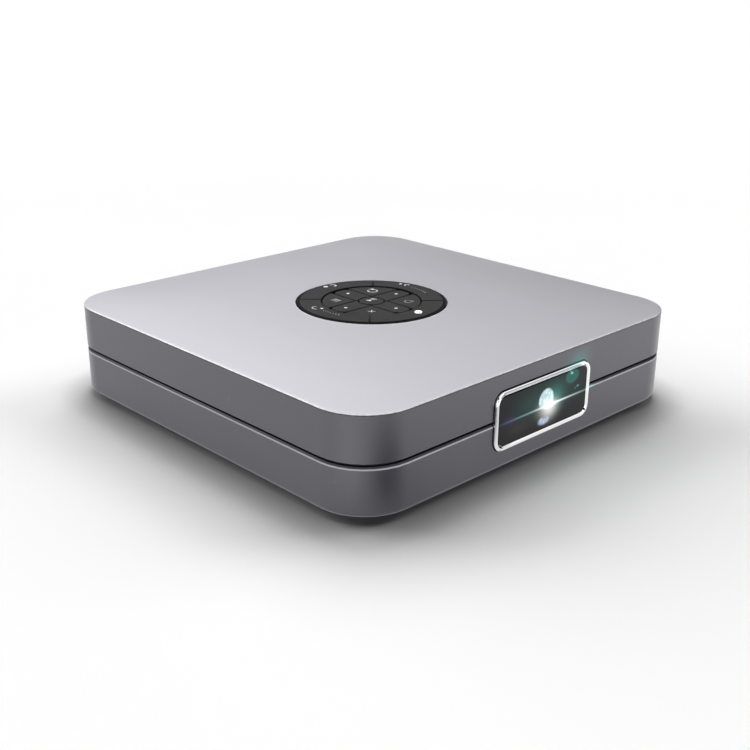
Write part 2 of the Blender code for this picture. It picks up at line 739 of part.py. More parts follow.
def make_upper_casing():
    """Upper half: walls and a deck that carries the keypad, with bosses for the screws."""
    casing = slab("upper_casing", [body_outline(0)], UPPER_BOTTOM, DECK_TOP, gunmetal)
    hollow = slab(
        "upper_hollow", [body_outline(CASING_WALL)], UPPER_BOTTOM - OVERRUN, DECK_BOTTOM
    )
    groove_inset = CASING_WALL - TONGUE_THICKNESS - CLEARANCE
    groove = slab(
        "upper_groove",
        [body_outline(groove_inset)],
        UPPER_BOTTOM - OVERRUN,
        TONGUE_TOP + CLEARANCE,
    )
    seat = slab(
        "keypad_board_seat",
        [
            circle(DECK_HOLE_RADIUS + BOARD_SEAT_WALL, steps=LARGE_ROUND_STEPS),
            circle(DECK_HOLE_RADIUS, steps=LARGE_ROUND_STEPS),
        ],
        BOARD_TOP + CLEARANCE,
        DECK_BOTTOM + DECK_THICKNESS / 2,
    )
    boss_bottom = PARTING_TOP - BOSS_MEETING_DROP + CLEARANCE
    places = corner_places(BOSS_INSET)
    bosses = rods(
        "upper_bosses",
        UPPER_BOSS_RADIUS,
        DECK_BOTTOM + DECK_THICKNESS / 2 - boss_bottom,
        [(x, y, boss_bottom) for x, y in places],
    )
    pilot_bottom = boss_bottom - OVERRUN
    pilots = rods(
        "upper_pilots",
        SCREW_SHANK_RADIUS + CLEARANCE,
        BODY_BOTTOM + SCREW_HEAD_RECESS + SCREW_LENGTH + OVERRUN - pilot_bottom,
        [(x, y, pilot_bottom) for x, y in places],
    )
    deck_hole = slab(
        "deck_hole",
        [circle(DECK_HOLE_RADIUS, steps=LARGE_ROUND_STEPS)],
        BOARD_TOP,
        DECK_TOP + OVERRUN,
    )
    pocket = slab(
        "keypad_pocket",
        [circle(KEYPAD_HOLE_RADIUS, steps=LARGE_ROUND_STEPS)],
        KEYPAD_SEAT,
        DECK_TOP + OVERRUN,
    )
    vents = vent_slots("upper_vents", TONGUE_TOP + VENT_MARGIN, DECK_BOTTOM - VENT_MARGIN)
    cut(casing, hollow, groove)
    join(casing, seat, bosses)
    cut(casing, pilots, deck_hole, pocket, vents, frame_opening("upper_frame_opening"))
    return casing


def standoff_places():
    """The four posts under the main board's corners."""
    middle_y = (MAIN_BOARD_FRONT_Y + MAIN_BOARD_BACK_Y) / 2
    return [
        (
            MAIN_BOARD_CENTRE_X + across * (MAIN_BOARD_WIDTH / 2 - STANDOFF_INSET),
            middle_y + along * (MAIN_BOARD_DEPTH / 2 - STANDOFF_INSET),
        )
        for across, along in CORNER_SIGNS
    ]


def grille_places():
    """The speaker's sound holes: one in the middle and a ring round it."""
    middle = (SPEAKER_X, SPEAKER_Y)
    places = [middle]
    for index in range(GRILLE_RING_COUNT):
        x, y = polar(GRILLE_RING_RADIUS, 2 * math.pi * index / GRILLE_RING_COUNT)
        places.append((middle[0] + x, middle[1] + y))
    return places


def intake_slots():
    """Slots through the floor that let cool air in."""
    first = INTAKE_PLACE_X - VENT_PITCH * (INTAKE_COUNT - 1) / 2
    boxes = []
    for index in range(INTAKE_COUNT):
        middle = first + VENT_PITCH * index
        boxes.append(
            (
                (middle - VENT_WIDTH / 2, INTAKE_FRONT_Y, BODY_BOTTOM - OVERRUN),
                (middle + VENT_WIDTH / 2, INTAKE_FRONT_Y + INTAKE_LENGTH, FLOOR_TOP + OVERRUN),
            )
        )
    return blocks("intake_slots", boxes)


def panel_outline(inset):
    """The port panel's outline in X and Z, drawn in by an inset."""
    return rounded_rectangle(
        PANEL_WIDTH - 2 * inset,
        PANEL_HEIGHT - 2 * inset,
        PANEL_ROUNDING,
        (MAIN_BOARD_CENTRE_X, PANEL_CENTRE_Z),
        FILLET_STEPS,
    )


def make_lower_casing():
    """Lower half: a tub with a tongue round its rim, bosses, posts and openings."""
    casing = slab(
        "lower_casing",
        [body_outline(0)],
        BODY_BOTTOM,
        PARTING_TOP,
        gunmetal,
        top=PARTING_ROUNDING,
        bottom=BOTTOM_ROUNDING,
    )
    tongue = slab(
        "lower_tongue",
        [body_outline(CASING_WALL - TONGUE_THICKNESS)],
        PARTING_TOP - TONGUE_HEIGHT,
        TONGUE_TOP,
    )
    hollow = slab(
        "lower_hollow", [body_outline(CASING_WALL)], FLOOR_TOP, TONGUE_TOP + OVERRUN
    )
    post_bottom = FLOOR_TOP - FLOOR_THICKNESS / 2
    places = corner_places(BOSS_INSET)
    bosses = rods(
        "lower_bosses",
        LOWER_BOSS_RADIUS,
        PARTING_TOP - BOSS_MEETING_DROP - post_bottom,
        [(x, y, post_bottom) for x, y in places],
    )
    posts = rods(
        "board_posts",
        STANDOFF_RADIUS,
        FLOOR_TOP + STANDOFF_HEIGHT - post_bottom,
        [(x, y, post_bottom) for x, y in standoff_places()],
    )
    nut_pocket_top = BODY_BOTTOM + SOCKET_DEPTH + 2 * CLEARANCE
    nut_boss = rod(
        "nut_boss",
        NUT_BOSS_RADIUS,
        nut_pocket_top + NUT_BOSS_WALL - post_bottom,
        (0, NUT_PLACE_Y, post_bottom),
    )
    nut_pocket = rod(
        "nut_pocket",
        NUT_POCKET_RADIUS,
        nut_pocket_top - BODY_BOTTOM + OVERRUN,
        (0, NUT_PLACE_Y, BODY_BOTTOM - OVERRUN),
    )
    shank_holes = rods(
        "shank_holes",
        SCREW_SHANK_RADIUS + CLEARANCE,
        PARTING_TOP - BODY_BOTTOM + 2 * OVERRUN,
        [(x, y, BODY_BOTTOM - OVERRUN) for x, y in places],
    )
    head_holes = rods(
        "head_holes",
        SCREW_HEAD_RADIUS + CLEARANCE,
        OVERRUN + SCREW_HEAD_RECESS + SCREW_HEAD_HEIGHT + CLEARANCE,
        [(x, y, BODY_BOTTOM - OVERRUN) for x, y in places],
        steps=ROUND_STEPS,
    )
    foot_recesses = rods(
        "foot_recesses",
        FOOT_RADIUS + CLEARANCE,
        OVERRUN + FOOT_RECESS,
        [(x, y, BODY_BOTTOM - OVERRUN) for x, y in corner_places(FOOT_INSET)],
        steps=ROUND_STEPS,
    )
    grille = rods(
        "speaker_grille",
        GRILLE_HOLE_RADIUS,
        FLOOR_THICKNESS + 2 * OVERRUN,
        [(x, y, BODY_BOTTOM - OVERRUN) for x, y in grille_places()],
    )
    panel_opening = upright_slab(
        "panel_opening", [panel_outline(-CLEARANCE)], INNER_BACK_Y - OVERRUN, BACK_Y + OVERRUN
    )
    vents = vent_slots("lower_vents", FLOOR_TOP + VENT_MARGIN, PARTING_TOP - VENT_MARGIN)
    join(casing, tongue)
    cut(casing, hollow)
    join(casing, bosses, posts, nut_boss)
    cut(casing, nut_pocket, shank_holes, head_holes, foot_recesses, grille, intake_slots())
    cut(casing, panel_opening, vents, frame_opening("lower_frame_opening"))
    return casing


def make_lens_frame():
    """Chrome frame: a chamfered rim, a pocket for the window and a ledge behind it."""
    pocket = WINDOW_RECESS + WINDOW_THICKNESS + CLEARANCE
    section = [
        (0, FRAME_DEPTH),
        (0, FRAME_CHAMFER),
        (FRAME_CHAMFER, 0),
        (FRAME_RIM - FRAME_CHAMFER, 0),
        (FRAME_RIM, FRAME_CHAMFER),
        (FRAME_RIM, pocket),
        (FRAME_RIM + FRAME_LEDGE, pocket),
        (FRAME_RIM + FRAME_LEDGE, FRAME_DEPTH),
    ]
    rings = []
    for inset, depth in section:
        outline = rounded_rectangle(
            FRAME_WIDTH - 2 * inset, FRAME_HEIGHT - 2 * inset, FRAME_CORNER_RADIUS - inset
        )
        rings.append([(x, y, -depth) for x, y in outline])
    return loft("lens_frame", rings, chrome, (0, FRAME_FRONT_Y, FRAME_CENTRE_Z), TO_FRONT)


def make_window():
    """Glass window in the chrome frame's pocket."""
    inset = FRAME_RIM + CLEARANCE
    outline = rounded_rectangle(
        FRAME_WIDTH - 2 * inset,
        FRAME_HEIGHT - 2 * inset,
        FRAME_CORNER_RADIUS - inset,
        (0, FRAME_CENTRE_Z),
    )
    front = FRAME_FRONT_Y + WINDOW_RECESS
    return upright_slab("window_glass", [outline], front, WINDOW_BACK_Y, dark_glass)


def make_keypad_frame():
    """Round dish that guides the keys: a floor with stem holes and a thin rim."""
    rim_top = KEYPAD_TOP - RIM_DROP
    rim_inside = KEYPAD_RADIUS - RIM_WALL
    profile = [
        (0, KEYPAD_FLOOR_TOP),
        (rim_inside, KEYPAD_FLOOR_TOP),
        (rim_inside, rim_top),
        (KEYPAD_RADIUS, rim_top),
        (KEYPAD_RADIUS, KEYPAD_FLOOR_BOTTOM),
        (0, KEYPAD_FLOOR_BOTTOM),
    ]
    dish = turned(
        "keypad_frame", profile, (0, 0, 0), material=charcoal, steps=LARGE_ROUND_STEPS
    )
    holes = rods(
        "stem_holes",
        STEM_RADIUS + CLEARANCE,
        KEYPAD_FLOOR + 2 * OVERRUN,
        [(x, y, KEYPAD_FLOOR_BOTTOM - OVERRUN) for x, y in stem_places().values()],
    )
    cut(dish, holes)
    return dish


def stem_places():
    """Where each key's stem goes down, by the key's name."""
    places = {"centre_key": (0, 0)}
    for direction, quarter in KEY_DIRECTIONS.items():
        turn = QUARTER * quarter
        places[f"ring_key_{direction}"] = polar(RING_STEM_RADIUS, turn + RING_STEM_TURN)
        places[f"arm_key_{direction}"] = polar(ARM_STEM_RADIUS, turn)
    for direction, (across, along) in zip(CORNER_DIRECTIONS, CORNER_SIGNS):
        places[f"corner_key_{direction}"] = (
            across * CORNER_STEM_OFFSET,
            along * CORNER_STEM_OFFSET,
        )
    return places


def turned_outline(points, turn):
    """A plan outline turned about the keypad's middle."""
    return [
        (x * math.cos(turn) - y * math.sin(turn), x * math.sin(turn) + y * math.cos(turn))
        for x, y in points
    ]


def ring_key_outline():
    """A quarter of the outer ring, centred on the right-hand side."""
    outer = KEYPAD_RADIUS - RIM_WALL - CLEARANCE
    inner = RING_INNER_RADIUS
    outer_end = QUARTER / 2 - math.asin(KEY_GAP / 2 / outer)
    inner_end = QUARTER / 2 - math.asin(KEY_GAP / 2 / inner)
    outside = arc((0, 0), outer, -outer_end, outer_end, 2 * CORNER_STEPS)
    inside = arc((0, 0), inner, inner_end, -inner_end, 2 * CORNER_STEPS)
    return outside + inside


def arm_key_outline():
    """A direction key on the right: round outer end, hollow end at the centre key."""
    half = (ARM_KEY_WIDTH - KEY_GAP) / 2
    hollow_radius = CENTRE_KEY_RADIUS + KEY_GAP
    hollow_turn = QUARTER / 2 - math.asin(KEY_GAP / 2 / hollow_radius)
    shoulder = half + KEY_GAP * math.sin(QUARTER / 2)
    end_x = ARM_KEYS_RADIUS - ARM_END_RADIUS
    end_y = half - ARM_END_RADIUS
    front_end = arc((end_x, -end_y), ARM_END_RADIUS, -QUARTER, 0, CORNER_STEPS // 2)
    back_end = arc((end_x, end_y), ARM_END_RADIUS, 0, QUARTER, CORNER_STEPS // 2)
    hollow = arc((0, 0), hollow_radius, hollow_turn, -hollow_turn, CORNER_STEPS)
    return front_end + back_end + [(shoulder, half)] + hollow + [(shoulder, -half)]


def corner_key_outline():
    """The key between two arms, at the back right: a square corner and a round side."""
    near = ARM_KEY_WIDTH / 2 + KEY_GAP / 2
    outer = RING_INNER_RADIUS - KEY_GAP
    start = math.asin(near / outer)
    return [(near, near)] + arc((0, 0), outer, start, QUARTER - start, CORNER_STEPS)


def make_key(name, outline, top, material):
    """One key: a cap with a rounded rim and a stem that reaches down to its dome."""
    stem_x, stem_y = stem_places()[name]
    key = slab(
        name,
        [outline],
        KEY_BOTTOM,
        top,
        material,
        top=KEY_ROUNDING,
        segments=SMALL_FILLET_STEPS,
    )
    stem_top = (KEY_BOTTOM + top) / 2
    stem = rod(
        f"{name}_stem",
        STEM_RADIUS,
        stem_top - STEM_BOTTOM,
        (stem_x, stem_y, STEM_BOTTOM),
        steps=SMALL_ROUND_STEPS,
    )
    join(key, stem)
    return key


def make_keys():
    """The thirteen keys: four round the ring, four arms, four corners and the centre."""
    inner_top = KEYPAD_TOP - INNER_KEYS_DROP
    keys = {}
    for direction, quarter in KEY_DIRECTIONS.items():
        turn = QUARTER * quarter
        ring_name = f"ring_key_{direction}"
        arm_name = f"arm_key_{direction}"
        ring_outline = turned_outline(ring_key_outline(), turn)
        arm_outline = turned_outline(arm_key_outline(), turn)
        keys[ring_name] = make_key(ring_name, ring_outline, KEYPAD_TOP, charcoal)
        keys[arm_name] = make_key(arm_name, arm_outline, inner_top, charcoal)
    for direction, quarter in CORNER_DIRECTIONS.items():
        name = f"corner_key_{direction}"
        outline = turned_outline(corner_key_outline(), QUARTER * quarter)
        keys[name] = make_key(name, outline, inner_top, charcoal)
    keys["centre_key"] = make_key(
        "centre_key", circle(CENTRE_KEY_RADIUS), inner_top, charcoal
    )
    return keys


def make_indicator(front_key):
    """The light pipe that shows through the front ring key."""
    place = polar(LIGHT_PLACE_RADIUS, LIGHT_TURN)
    hole = rod(
        "light_hole",
        LIGHT_RADIUS + CLEARANCE,
        KEYPAD_TOP - KEY_BOTTOM + 2 * OVERRUN,
        (*place, KEY_BOTTOM - OVERRUN),
    )
    cut(front_key, hole)
    return rod(
        "indicator_light",
        LIGHT_RADIUS,
        KEYPAD_TOP + LIGHT_STAND - KEY_BOTTOM,
        (*place, KEY_BOTTOM),
        material=lamp_white,
    )


def make_dome_sheet():
    """Rubber sheet with a small dome under each stem."""
    low = BOARD_TOP + CLEARANCE
    radius = DECK_HOLE_RADIUS - DOME_SHEET_INSET
    sheet = slab(
        "dome_sheet", [circle(radius, steps=LARGE_ROUND_STEPS)], low, DOME_SHEET_TOP, rubber
    )
    domes = rods(
        "domes",
        DOME_RADIUS,
        DOME_TOP - (low + DOME_SHEET_TOP) / 2,
        [(x, y, (low + DOME_SHEET_TOP) / 2) for x, y in stem_places().values()],
    )
    join(sheet, domes)
    return sheet


def make_keypad_board():
    """Round circuit board under the dome sheet, with its cable connector."""
    low = BOARD_TOP - BOARD_THICKNESS
    outline = circle(KEYPAD_BOARD_RADIUS, steps=LARGE_ROUND_STEPS)
    return slab("keypad_board", [outline], low, BOARD_TOP, board_green)


def focus_place(along):
    """A point on the lens axis at a depth."""
    return (LENS_X, along, LENS_Z)


def screw_place(along):
    """A point on the focus screw's axis at a depth."""
    return (LENS_X + GUIDE_OFFSET, along, LENS_Z + SCREW_RISE)


def guide_places():
    """The guide rods' places in X and Z."""
    return {
        "guide_rod_left": (LENS_X - GUIDE_OFFSET, LENS_Z),
        "guide_rod_right": (LENS_X + GUIDE_OFFSET, LENS_Z - GUIDE_RIGHT_DROP),
    }


def make_lens_barrel():
    """Focusing barrel: a stepped tube for two lenses, on a carriage with three holes."""
    front_seat = BARREL_LENGTH - LENS_THICKNESS - CLEARANCE
    rear_seat = REAR_LENS_THICKNESS + 2 * CLEARANCE
    neck_base = BARREL_LENGTH - BARREL_NECK_LENGTH
    seat_radius = LENS_RADIUS + CLEARANCE
    profile = [
        (seat_radius, BARREL_LENGTH),
        (BARREL_NECK_RADIUS, BARREL_LENGTH),
        (BARREL_NECK_RADIUS, neck_base),
        (BARREL_RADIUS, neck_base),
        (BARREL_RADIUS, 0),
        (seat_radius, 0),
        (seat_radius, rear_seat),
        (BARREL_BORE_RADIUS, rear_seat),
        (BARREL_BORE_RADIUS, front_seat),
        (seat_radius, front_seat),
    ]
    barrel = turned(
        "lens_barrel", profile, focus_place(BARREL_BACK_Y), TO_FRONT, dark_metal, ring=True
    )
    half_span = GUIDE_OFFSET + CARRIAGE_EAR
    outline = rounded_rectangle(
        2 * half_span, CARRIAGE_HEIGHT, CARRIAGE_ROUNDING, (LENS_X, LENS_Z), FILLET_STEPS
    )
    opening = circle((BARREL_BORE_RADIUS + BARREL_RADIUS) / 2 + CLEARANCE, (LENS_X, LENS_Z))
    front = BARREL_BACK_Y - CARRIAGE_THICKNESS
    carriage = upright_slab("carriage", [outline, opening], front, BARREL_BACK_Y)
    join(barrel, carriage)
    holes = [(GUIDE_RADIUS, place) for place in guide_places().values()]
    screw_x, _, screw_z = screw_place(0)
    holes.append((FOCUS_SCREW_RADIUS, (screw_x, screw_z)))
    for index, (radius, (x, z)) in enumerate(holes):
        hole = rod(
            f"carriage_hole_{index}",
            radius + CLEARANCE,
            CARRIAGE_THICKNESS + 2 * OVERRUN,
            (x, BARREL_BACK_Y + OVERRUN, z),
            TO_FRONT,
            steps=SMALL_ROUND_STEPS,
        )
        cut(barrel, hole)
    return barrel


def lens_profile(thickness, dome):
    """A lens with a domed front: the dome as an arc of points, then the edge and flat back."""
    steps = FILLET_STEPS + 1
    bulge = (LENS_RADIUS**2 + dome**2) / (2 * dome)
    sweep = math.asin(LENS_RADIUS / bulge)
    points = []
    for step in range(steps + 1):
        turn = sweep * step / steps
        height = thickness - bulge * (1 - math.cos(turn))
        points.append((bulge * math.sin(turn), height))
    return points + [(LENS_RADIUS, 0), (0, 0)]


def make_lenses():
    """The front and rear lenses in the barrel's seats."""
    front_back_y = BARREL_FRONT_Y + LENS_THICKNESS
    front = turned(
        "front_lens",
        lens_profile(LENS_THICKNESS, LENS_DOME),
        focus_place(front_back_y),
        TO_FRONT,
        clear_glass,
    )
    rear = turned(
        "rear_lens",
        lens_profile(REAR_LENS_THICKNESS, LENS_DOME / 2),
        focus_place(BARREL_BACK_Y - CLEARANCE),
        TO_FRONT,
        clear_glass,
    )
    return front, rear


def make_guides():
    """Two rods that the carriage slides on, gripped by the light engine's front wall."""
    start = FRAME_FRONT_Y + FRAME_DEPTH + GUIDE_START_GAP
    end = ENGINE_FRONT_Y + GUIDE_GRIP
    for name, (x, z) in guide_places().items():
        rod(
            name, GUIDE_RADIUS, end - start, (x, end, z), TO_FRONT, steel, SMALL_ROUND_STEPS
        )


def make_focus_drive():
    """A small motor in front of the light engine, and the screw that moves the carriage."""
    motor_back = ENGINE_FRONT_Y - CLEARANCE
    motor_front = BARREL_BACK_Y + FOCUS_TRAVEL + 2 * CLEARANCE
    motor = rod(
        "focus_motor",
        FOCUS_MOTOR_RADIUS,
        motor_back - motor_front,
        screw_place(motor_back),
        TO_FRONT,
        steel,
    )
    socket = rod(
        "motor_socket",
        FOCUS_SCREW_RADIUS + CLEARANCE,
        FOCUS_MOTOR_SOCKET + CLEARANCE + OVERRUN,
        screw_place(motor_front + FOCUS_MOTOR_SOCKET + CLEARANCE),
        TO_FRONT,
        steps=SMALL_ROUND_STEPS,
    )
    cut(motor, socket)
    start = FRAME_FRONT_Y + FRAME_DEPTH + GUIDE_START_GAP
    end = motor_front + FOCUS_MOTOR_SOCKET
    rod(
        "focus_screw",
        FOCUS_SCREW_RADIUS,
        end - start,
        screw_place(end),
        TO_FRONT,
        steel,
        SMALL_ROUND_STEPS,
    )


def lamp_names():
    """The three lamps in order from the front."""
    return ("red_lamp", "green_lamp", "blue_lamp")


def lamp_pitch():
    """The step from one lamp to the next."""
    return ENGINE_DEPTH / len(lamp_names())


def lamp_place_y(index):
    """The depth of a lamp's middle along the light engine's right wall."""
    return ENGINE_FRONT_Y + lamp_pitch() * index + lamp_pitch() / 2


def make_light_engine():
    """Cast housing: thick walls round a light chamber, with bores and windows."""
    housing = block(
        "light_engine",
        (ENGINE_LEFT, ENGINE_FRONT_Y, FLOOR_SEAT),
        (ENGINE_RIGHT, ENGINE_BACK_Y, ENGINE_TOP),
        cast_metal,
    )
    chamber = block(
        "light_chamber",
        (ENGINE_LEFT + ENGINE_WALL, ENGINE_FRONT_Y + ENGINE_WALL, FLOOR_SEAT + ENGINE_FLOOR),
        (ENGINE_RIGHT - ENGINE_WALL, ENGINE_BACK_Y - ENGINE_WALL, ENGINE_TOP + OVERRUN),
    )
    bore = rod(
        "light_bore",
        ENGINE_BORE_RADIUS,
        ENGINE_WALL + 2 * OVERRUN,
        focus_place(ENGINE_FRONT_Y + ENGINE_WALL + OVERRUN),
        TO_FRONT,
    )
    chip_window = block(
        "chip_window",
        (
            LENS_X - CHIP_WIDTH / 2 - CLEARANCE,
            ENGINE_BACK_Y - ENGINE_WALL - OVERRUN,
            LENS_Z - CHIP_HEIGHT / 2 - CLEARANCE,
        ),
        (
            LENS_X + CHIP_WIDTH / 2 + CLEARANCE,
            ENGINE_BACK_Y + OVERRUN,
            LENS_Z + CHIP_HEIGHT / 2 + CLEARANCE,
        ),
    )
    cut(housing, chamber, bore, chip_window)
    for name, (x, z) in guide_places().items():
        grip = rod(
            f"{name}_grip",
            GUIDE_RADIUS + CLEARANCE,
            GUIDE_GRIP + CLEARANCE + OVERRUN,
            (x, ENGINE_FRONT_Y + GUIDE_GRIP + CLEARANCE, z),
            TO_FRONT,
            steps=SMALL_ROUND_STEPS,
        )
        cut(housing, grip)
    for index, name in enumerate(lamp_names()):
        window = rod(
            f"{name}_window",
            LAMP_EMITTER_RADIUS + CLEARANCE,
            ENGINE_WALL + 2 * OVERRUN,
            (ENGINE_RIGHT - ENGINE_WALL - OVERRUN, lamp_place_y(index), LENS_Z),
            TO_RIGHT,
            steps=SMALL_ROUND_STEPS,
        )
        cut(housing, window)
    block(
        "engine_lid",
        (ENGINE_LEFT, ENGINE_FRONT_Y, ENGINE_TOP + CLEARANCE),
        (ENGINE_RIGHT, ENGINE_BACK_Y, ENGINE_TOP + CLEARANCE + ENGINE_LID_THICKNESS),
        dark_metal,
    )
    return housing


def make_optics():
    """The prism in the light chamber, and the picture chip on its board."""
    half = PRISM_SIDE / 2
    corner_x = LENS_X - half
    corner_y = ENGINE_CENTRE_Y - half
    wedge = [
        (corner_x, corner_y),
        (corner_x + PRISM_SIDE, corner_y),
        (corner_x, corner_y + PRISM_SIDE),
    ]
    low = FLOOR_SEAT + ENGINE_FLOOR + CLEARANCE
    slab("prism", [wedge], low, low + PRISM_HEIGHT, clear_glass)
    block(
        "chip_board",
        (LENS_X - CHIP_BOARD_WIDTH / 2, CHIP_BOARD_FRONT_Y, FLOOR_SEAT),
        (LENS_X + CHIP_BOARD_WIDTH / 2, CHIP_BOARD_BACK_Y, FLOOR_SEAT + CHIP_BOARD_HEIGHT),
        board_green,
    )
    chip_back = CHIP_BOARD_FRONT_Y - CLEARANCE
    block(
        "picture_chip",
        (LENS_X - CHIP_WIDTH / 2, chip_back - CHIP_THICKNESS, LENS_Z - CHIP_HEIGHT / 2),
        (LENS_X + CHIP_WIDTH / 2, chip_back, LENS_Z + CHIP_HEIGHT / 2),
        dark_ceramic,
    )


def make_lamps():
    """Three lamp plates on the engine's right wall, each with an emitter in its window."""
    plate_left = ENGINE_RIGHT + CLEARANCE
    half = (lamp_pitch() - LAMP_GAP) / 2
    for index, name in enumerate(lamp_names()):
        middle = lamp_place_y(index)
        plate = block(
            name,
            (plate_left, middle - half, LENS_Z - half),
            (LAMP_BACK_X, middle + half, LENS_Z + half),
            lamp_finishes[name],
        )
        emitter = rod(
            f"{name}_emitter",
            LAMP_EMITTER_RADIUS,
            LAMP_EMITTER_LENGTH + LAMP_PLATE_THICKNESS / 2,
            (plate_left - LAMP_EMITTER_LENGTH, middle, LENS_Z),
            TO_RIGHT,
            steps=SMALL_ROUND_STEPS,
        )
        join(plate, emitter)


def make_heat_pipe():
    """Copper pipe in a long U behind the lamps, against the heat sink's base."""
    front = ENGINE_FRONT_Y + PIPE_BEND_RADIUS + PIPE_RADIUS
    back = ENGINE_BACK_Y
    bend = arc((front, LENS_Z), PIPE_BEND_RADIUS, QUARTER, 3 * QUARTER, PIPE_BEND_STEPS)
    top = LENS_Z + PIPE_BEND_RADIUS
    low = LENS_Z - PIPE_BEND_RADIUS
    route = [(back, top)] + bend + [(back, low)]
    curve = bpy.data.curves.new("heat_pipe", "CURVE")
    curve.dimensions = "3D"
    curve.bevel_depth = PIPE_RADIUS
    curve.bevel_resolution = 2
    curve.use_fill_caps = True
    spline = curve.splines.new("POLY")
    spline.points.add(len(route) - 1)
    for point, (y, z) in zip(spline.points, route):
        point.co = (0, y, z, 1)
    pipe = bpy.data.objects.new("heat_pipe", curve)
    pipe.location = (PIPE_X, 0, 0)
    curve.materials.append(copper)
    parts.objects.link(pipe)
    return pipe


def make_heat_sink():
    """Aluminium comb: an upright base with level fins towards the fan."""
    pitch = (SINK_HEIGHT - FIN_THICKNESS) / (FIN_COUNT - 1)
    comb = [(SINK_LEFT, FLOOR_SEAT)]
    fin_end = FAN_LEFT - SINK_FAN_GAP
    for index in range(FIN_COUNT):
        low = FLOOR_SEAT + pitch * index
        high = low + FIN_THICKNESS
        comb += [(fin_end, low), (fin_end, high)]
        if index < FIN_COUNT - 1:
            root = SINK_LEFT + SINK_BASE
            comb += [(root, high), (root, low + pitch)]
    comb.append((SINK_LEFT, FLOOR_SEAT + SINK_HEIGHT))
    return upright_slab("heat_sink", [comb], SINK_BACK_Y - SINK_DEPTH, SINK_BACK_Y, aluminium)


def make_fan():
    """Square fan: a frame with a hub carrier on struts, and a bladed impeller."""
    half = FAN_SIZE / 2
    frame = block(
        "fan_frame",
        (FAN_LEFT, FAN_CENTRE_Y - half, FAN_CENTRE_Z - half),
        (FAN_RIGHT, FAN_CENTRE_Y + half, FAN_CENTRE_Z + half),
        black_plastic,
    )
    bore = rod(
        "fan_bore",
        FAN_BORE_RADIUS,
        FAN_THICKNESS + 2 * OVERRUN,
        (FAN_LEFT - OVERRUN, FAN_CENTRE_Y, FAN_CENTRE_Z),
        TO_RIGHT,
        steps=LARGE_ROUND_STEPS,
    )
    carrier_left = FAN_RIGHT - FAN_CARRIER_THICKNESS
    carrier = rod(
        "fan_carrier",
        FAN_HUB_RADIUS,
        FAN_CARRIER_THICKNESS,
        (carrier_left, FAN_CENTRE_Y, FAN_CENTRE_Z),
        TO_RIGHT,
    )
    reach = FAN_BORE_RADIUS + FAN_WALL / 2
    across = FAN_STRUT_WIDTH / 2
    right = carrier_left + FAN_CARRIER_THICKNESS / 2
    level = block(
        "fan_strut_level",
        (carrier_left, FAN_CENTRE_Y - reach, FAN_CENTRE_Z - across),
        (right, FAN_CENTRE_Y + reach, FAN_CENTRE_Z + across),
    )
    standing = block(
        "fan_strut_standing",
        (carrier_left, FAN_CENTRE_Y - across, FAN_CENTRE_Z - reach),
        (right, FAN_CENTRE_Y + across, FAN_CENTRE_Z + reach),
    )
    pin_hole = rod(
        "fan_pin_hole",
        FAN_PIN_RADIUS + CLEARANCE,
        FAN_CARRIER_THICKNESS + 2 * OVERRUN,
        (carrier_left - OVERRUN, FAN_CENTRE_Y, FAN_CENTRE_Z),
        TO_RIGHT,
        steps=SMALL_ROUND_STEPS,
    )
    cut(frame, bore)
    join(frame, level, standing, carrier)
    cut(frame, pin_hole)
    make_impeller(carrier_left - CLEARANCE)


def make_impeller(hub_right):
    """Hub with pitched blades and a pin that runs in the carrier."""
    place = (hub_right - FAN_HUB_LENGTH, FAN_CENTRE_Y, FAN_CENTRE_Z)
    pin_length = FAN_HUB_LENGTH + CLEARANCE + FAN_CARRIER_THICKNESS / 2
    profile = [
        (0, pin_length),
        (FAN_PIN_RADIUS, pin_length),
        (FAN_PIN_RADIUS, FAN_HUB_LENGTH),
        (FAN_HUB_RADIUS, FAN_HUB_LENGTH),
        (FAN_HUB_RADIUS, 0),
        (0, 0),
    ]
    impeller = turned("fan_impeller", profile, place, TO_RIGHT, black_plastic)
    inner = FAN_HUB_RADIUS - FAN_PIN_RADIUS
    outer = FAN_BORE_RADIUS - FAN_TIP_GAP
    height = FAN_HUB_LENGTH / 2

    def build(shape):
        for index in range(BLADE_COUNT):
            turn = Matrix.Rotation(2 * math.pi * index / BLADE_COUNT, MATRIX_SIZE, "Z")
            move = Matrix.Translation(((inner + outer) / 2, 0, height))
            pitch = Matrix.Rotation(BLADE_PITCH, MATRIX_SIZE, "X")
            size = Matrix.Diagonal((outer - inner, BLADE_CHORD, BLADE_THICKNESS, 1))
            bmesh.ops.create_cube(shape, size=1, matrix=turn @ move @ pitch @ size)

    blades = add("fan_blades", mesh_from("fan_blades", build), None, place, TO_RIGHT)
    limit = rod(
        "blade_limit",
        outer,
        FAN_HUB_LENGTH,
        place,
        TO_RIGHT,
        steps=LARGE_ROUND_STEPS,
    )
    apply_boolean(blades, limit, "INTERSECT")
    join(impeller, blades)


def make_battery():
    """Two flat cells in one sleeve, on the floor beside the left wall."""
    centre = ((BATTERY_LEFT + BATTERY_RIGHT) / 2, (BATTERY_FRONT_Y + BATTERY_BACK_Y) / 2)
    outline = rounded_rectangle(
        BATTERY_RIGHT - BATTERY_LEFT,
        BATTERY_BACK_Y - BATTERY_FRONT_Y,
        BATTERY_ROUNDING,
        centre,
        FILLET_STEPS,
    )
    return slab(
        "battery_pack",
        [outline],
        FLOOR_SEAT,
        FLOOR_SEAT + BATTERY_HEIGHT,
        battery_blue,
        top=BATTERY_ROUNDING / 2,
        segments=SMALL_FILLET_STEPS,
    )


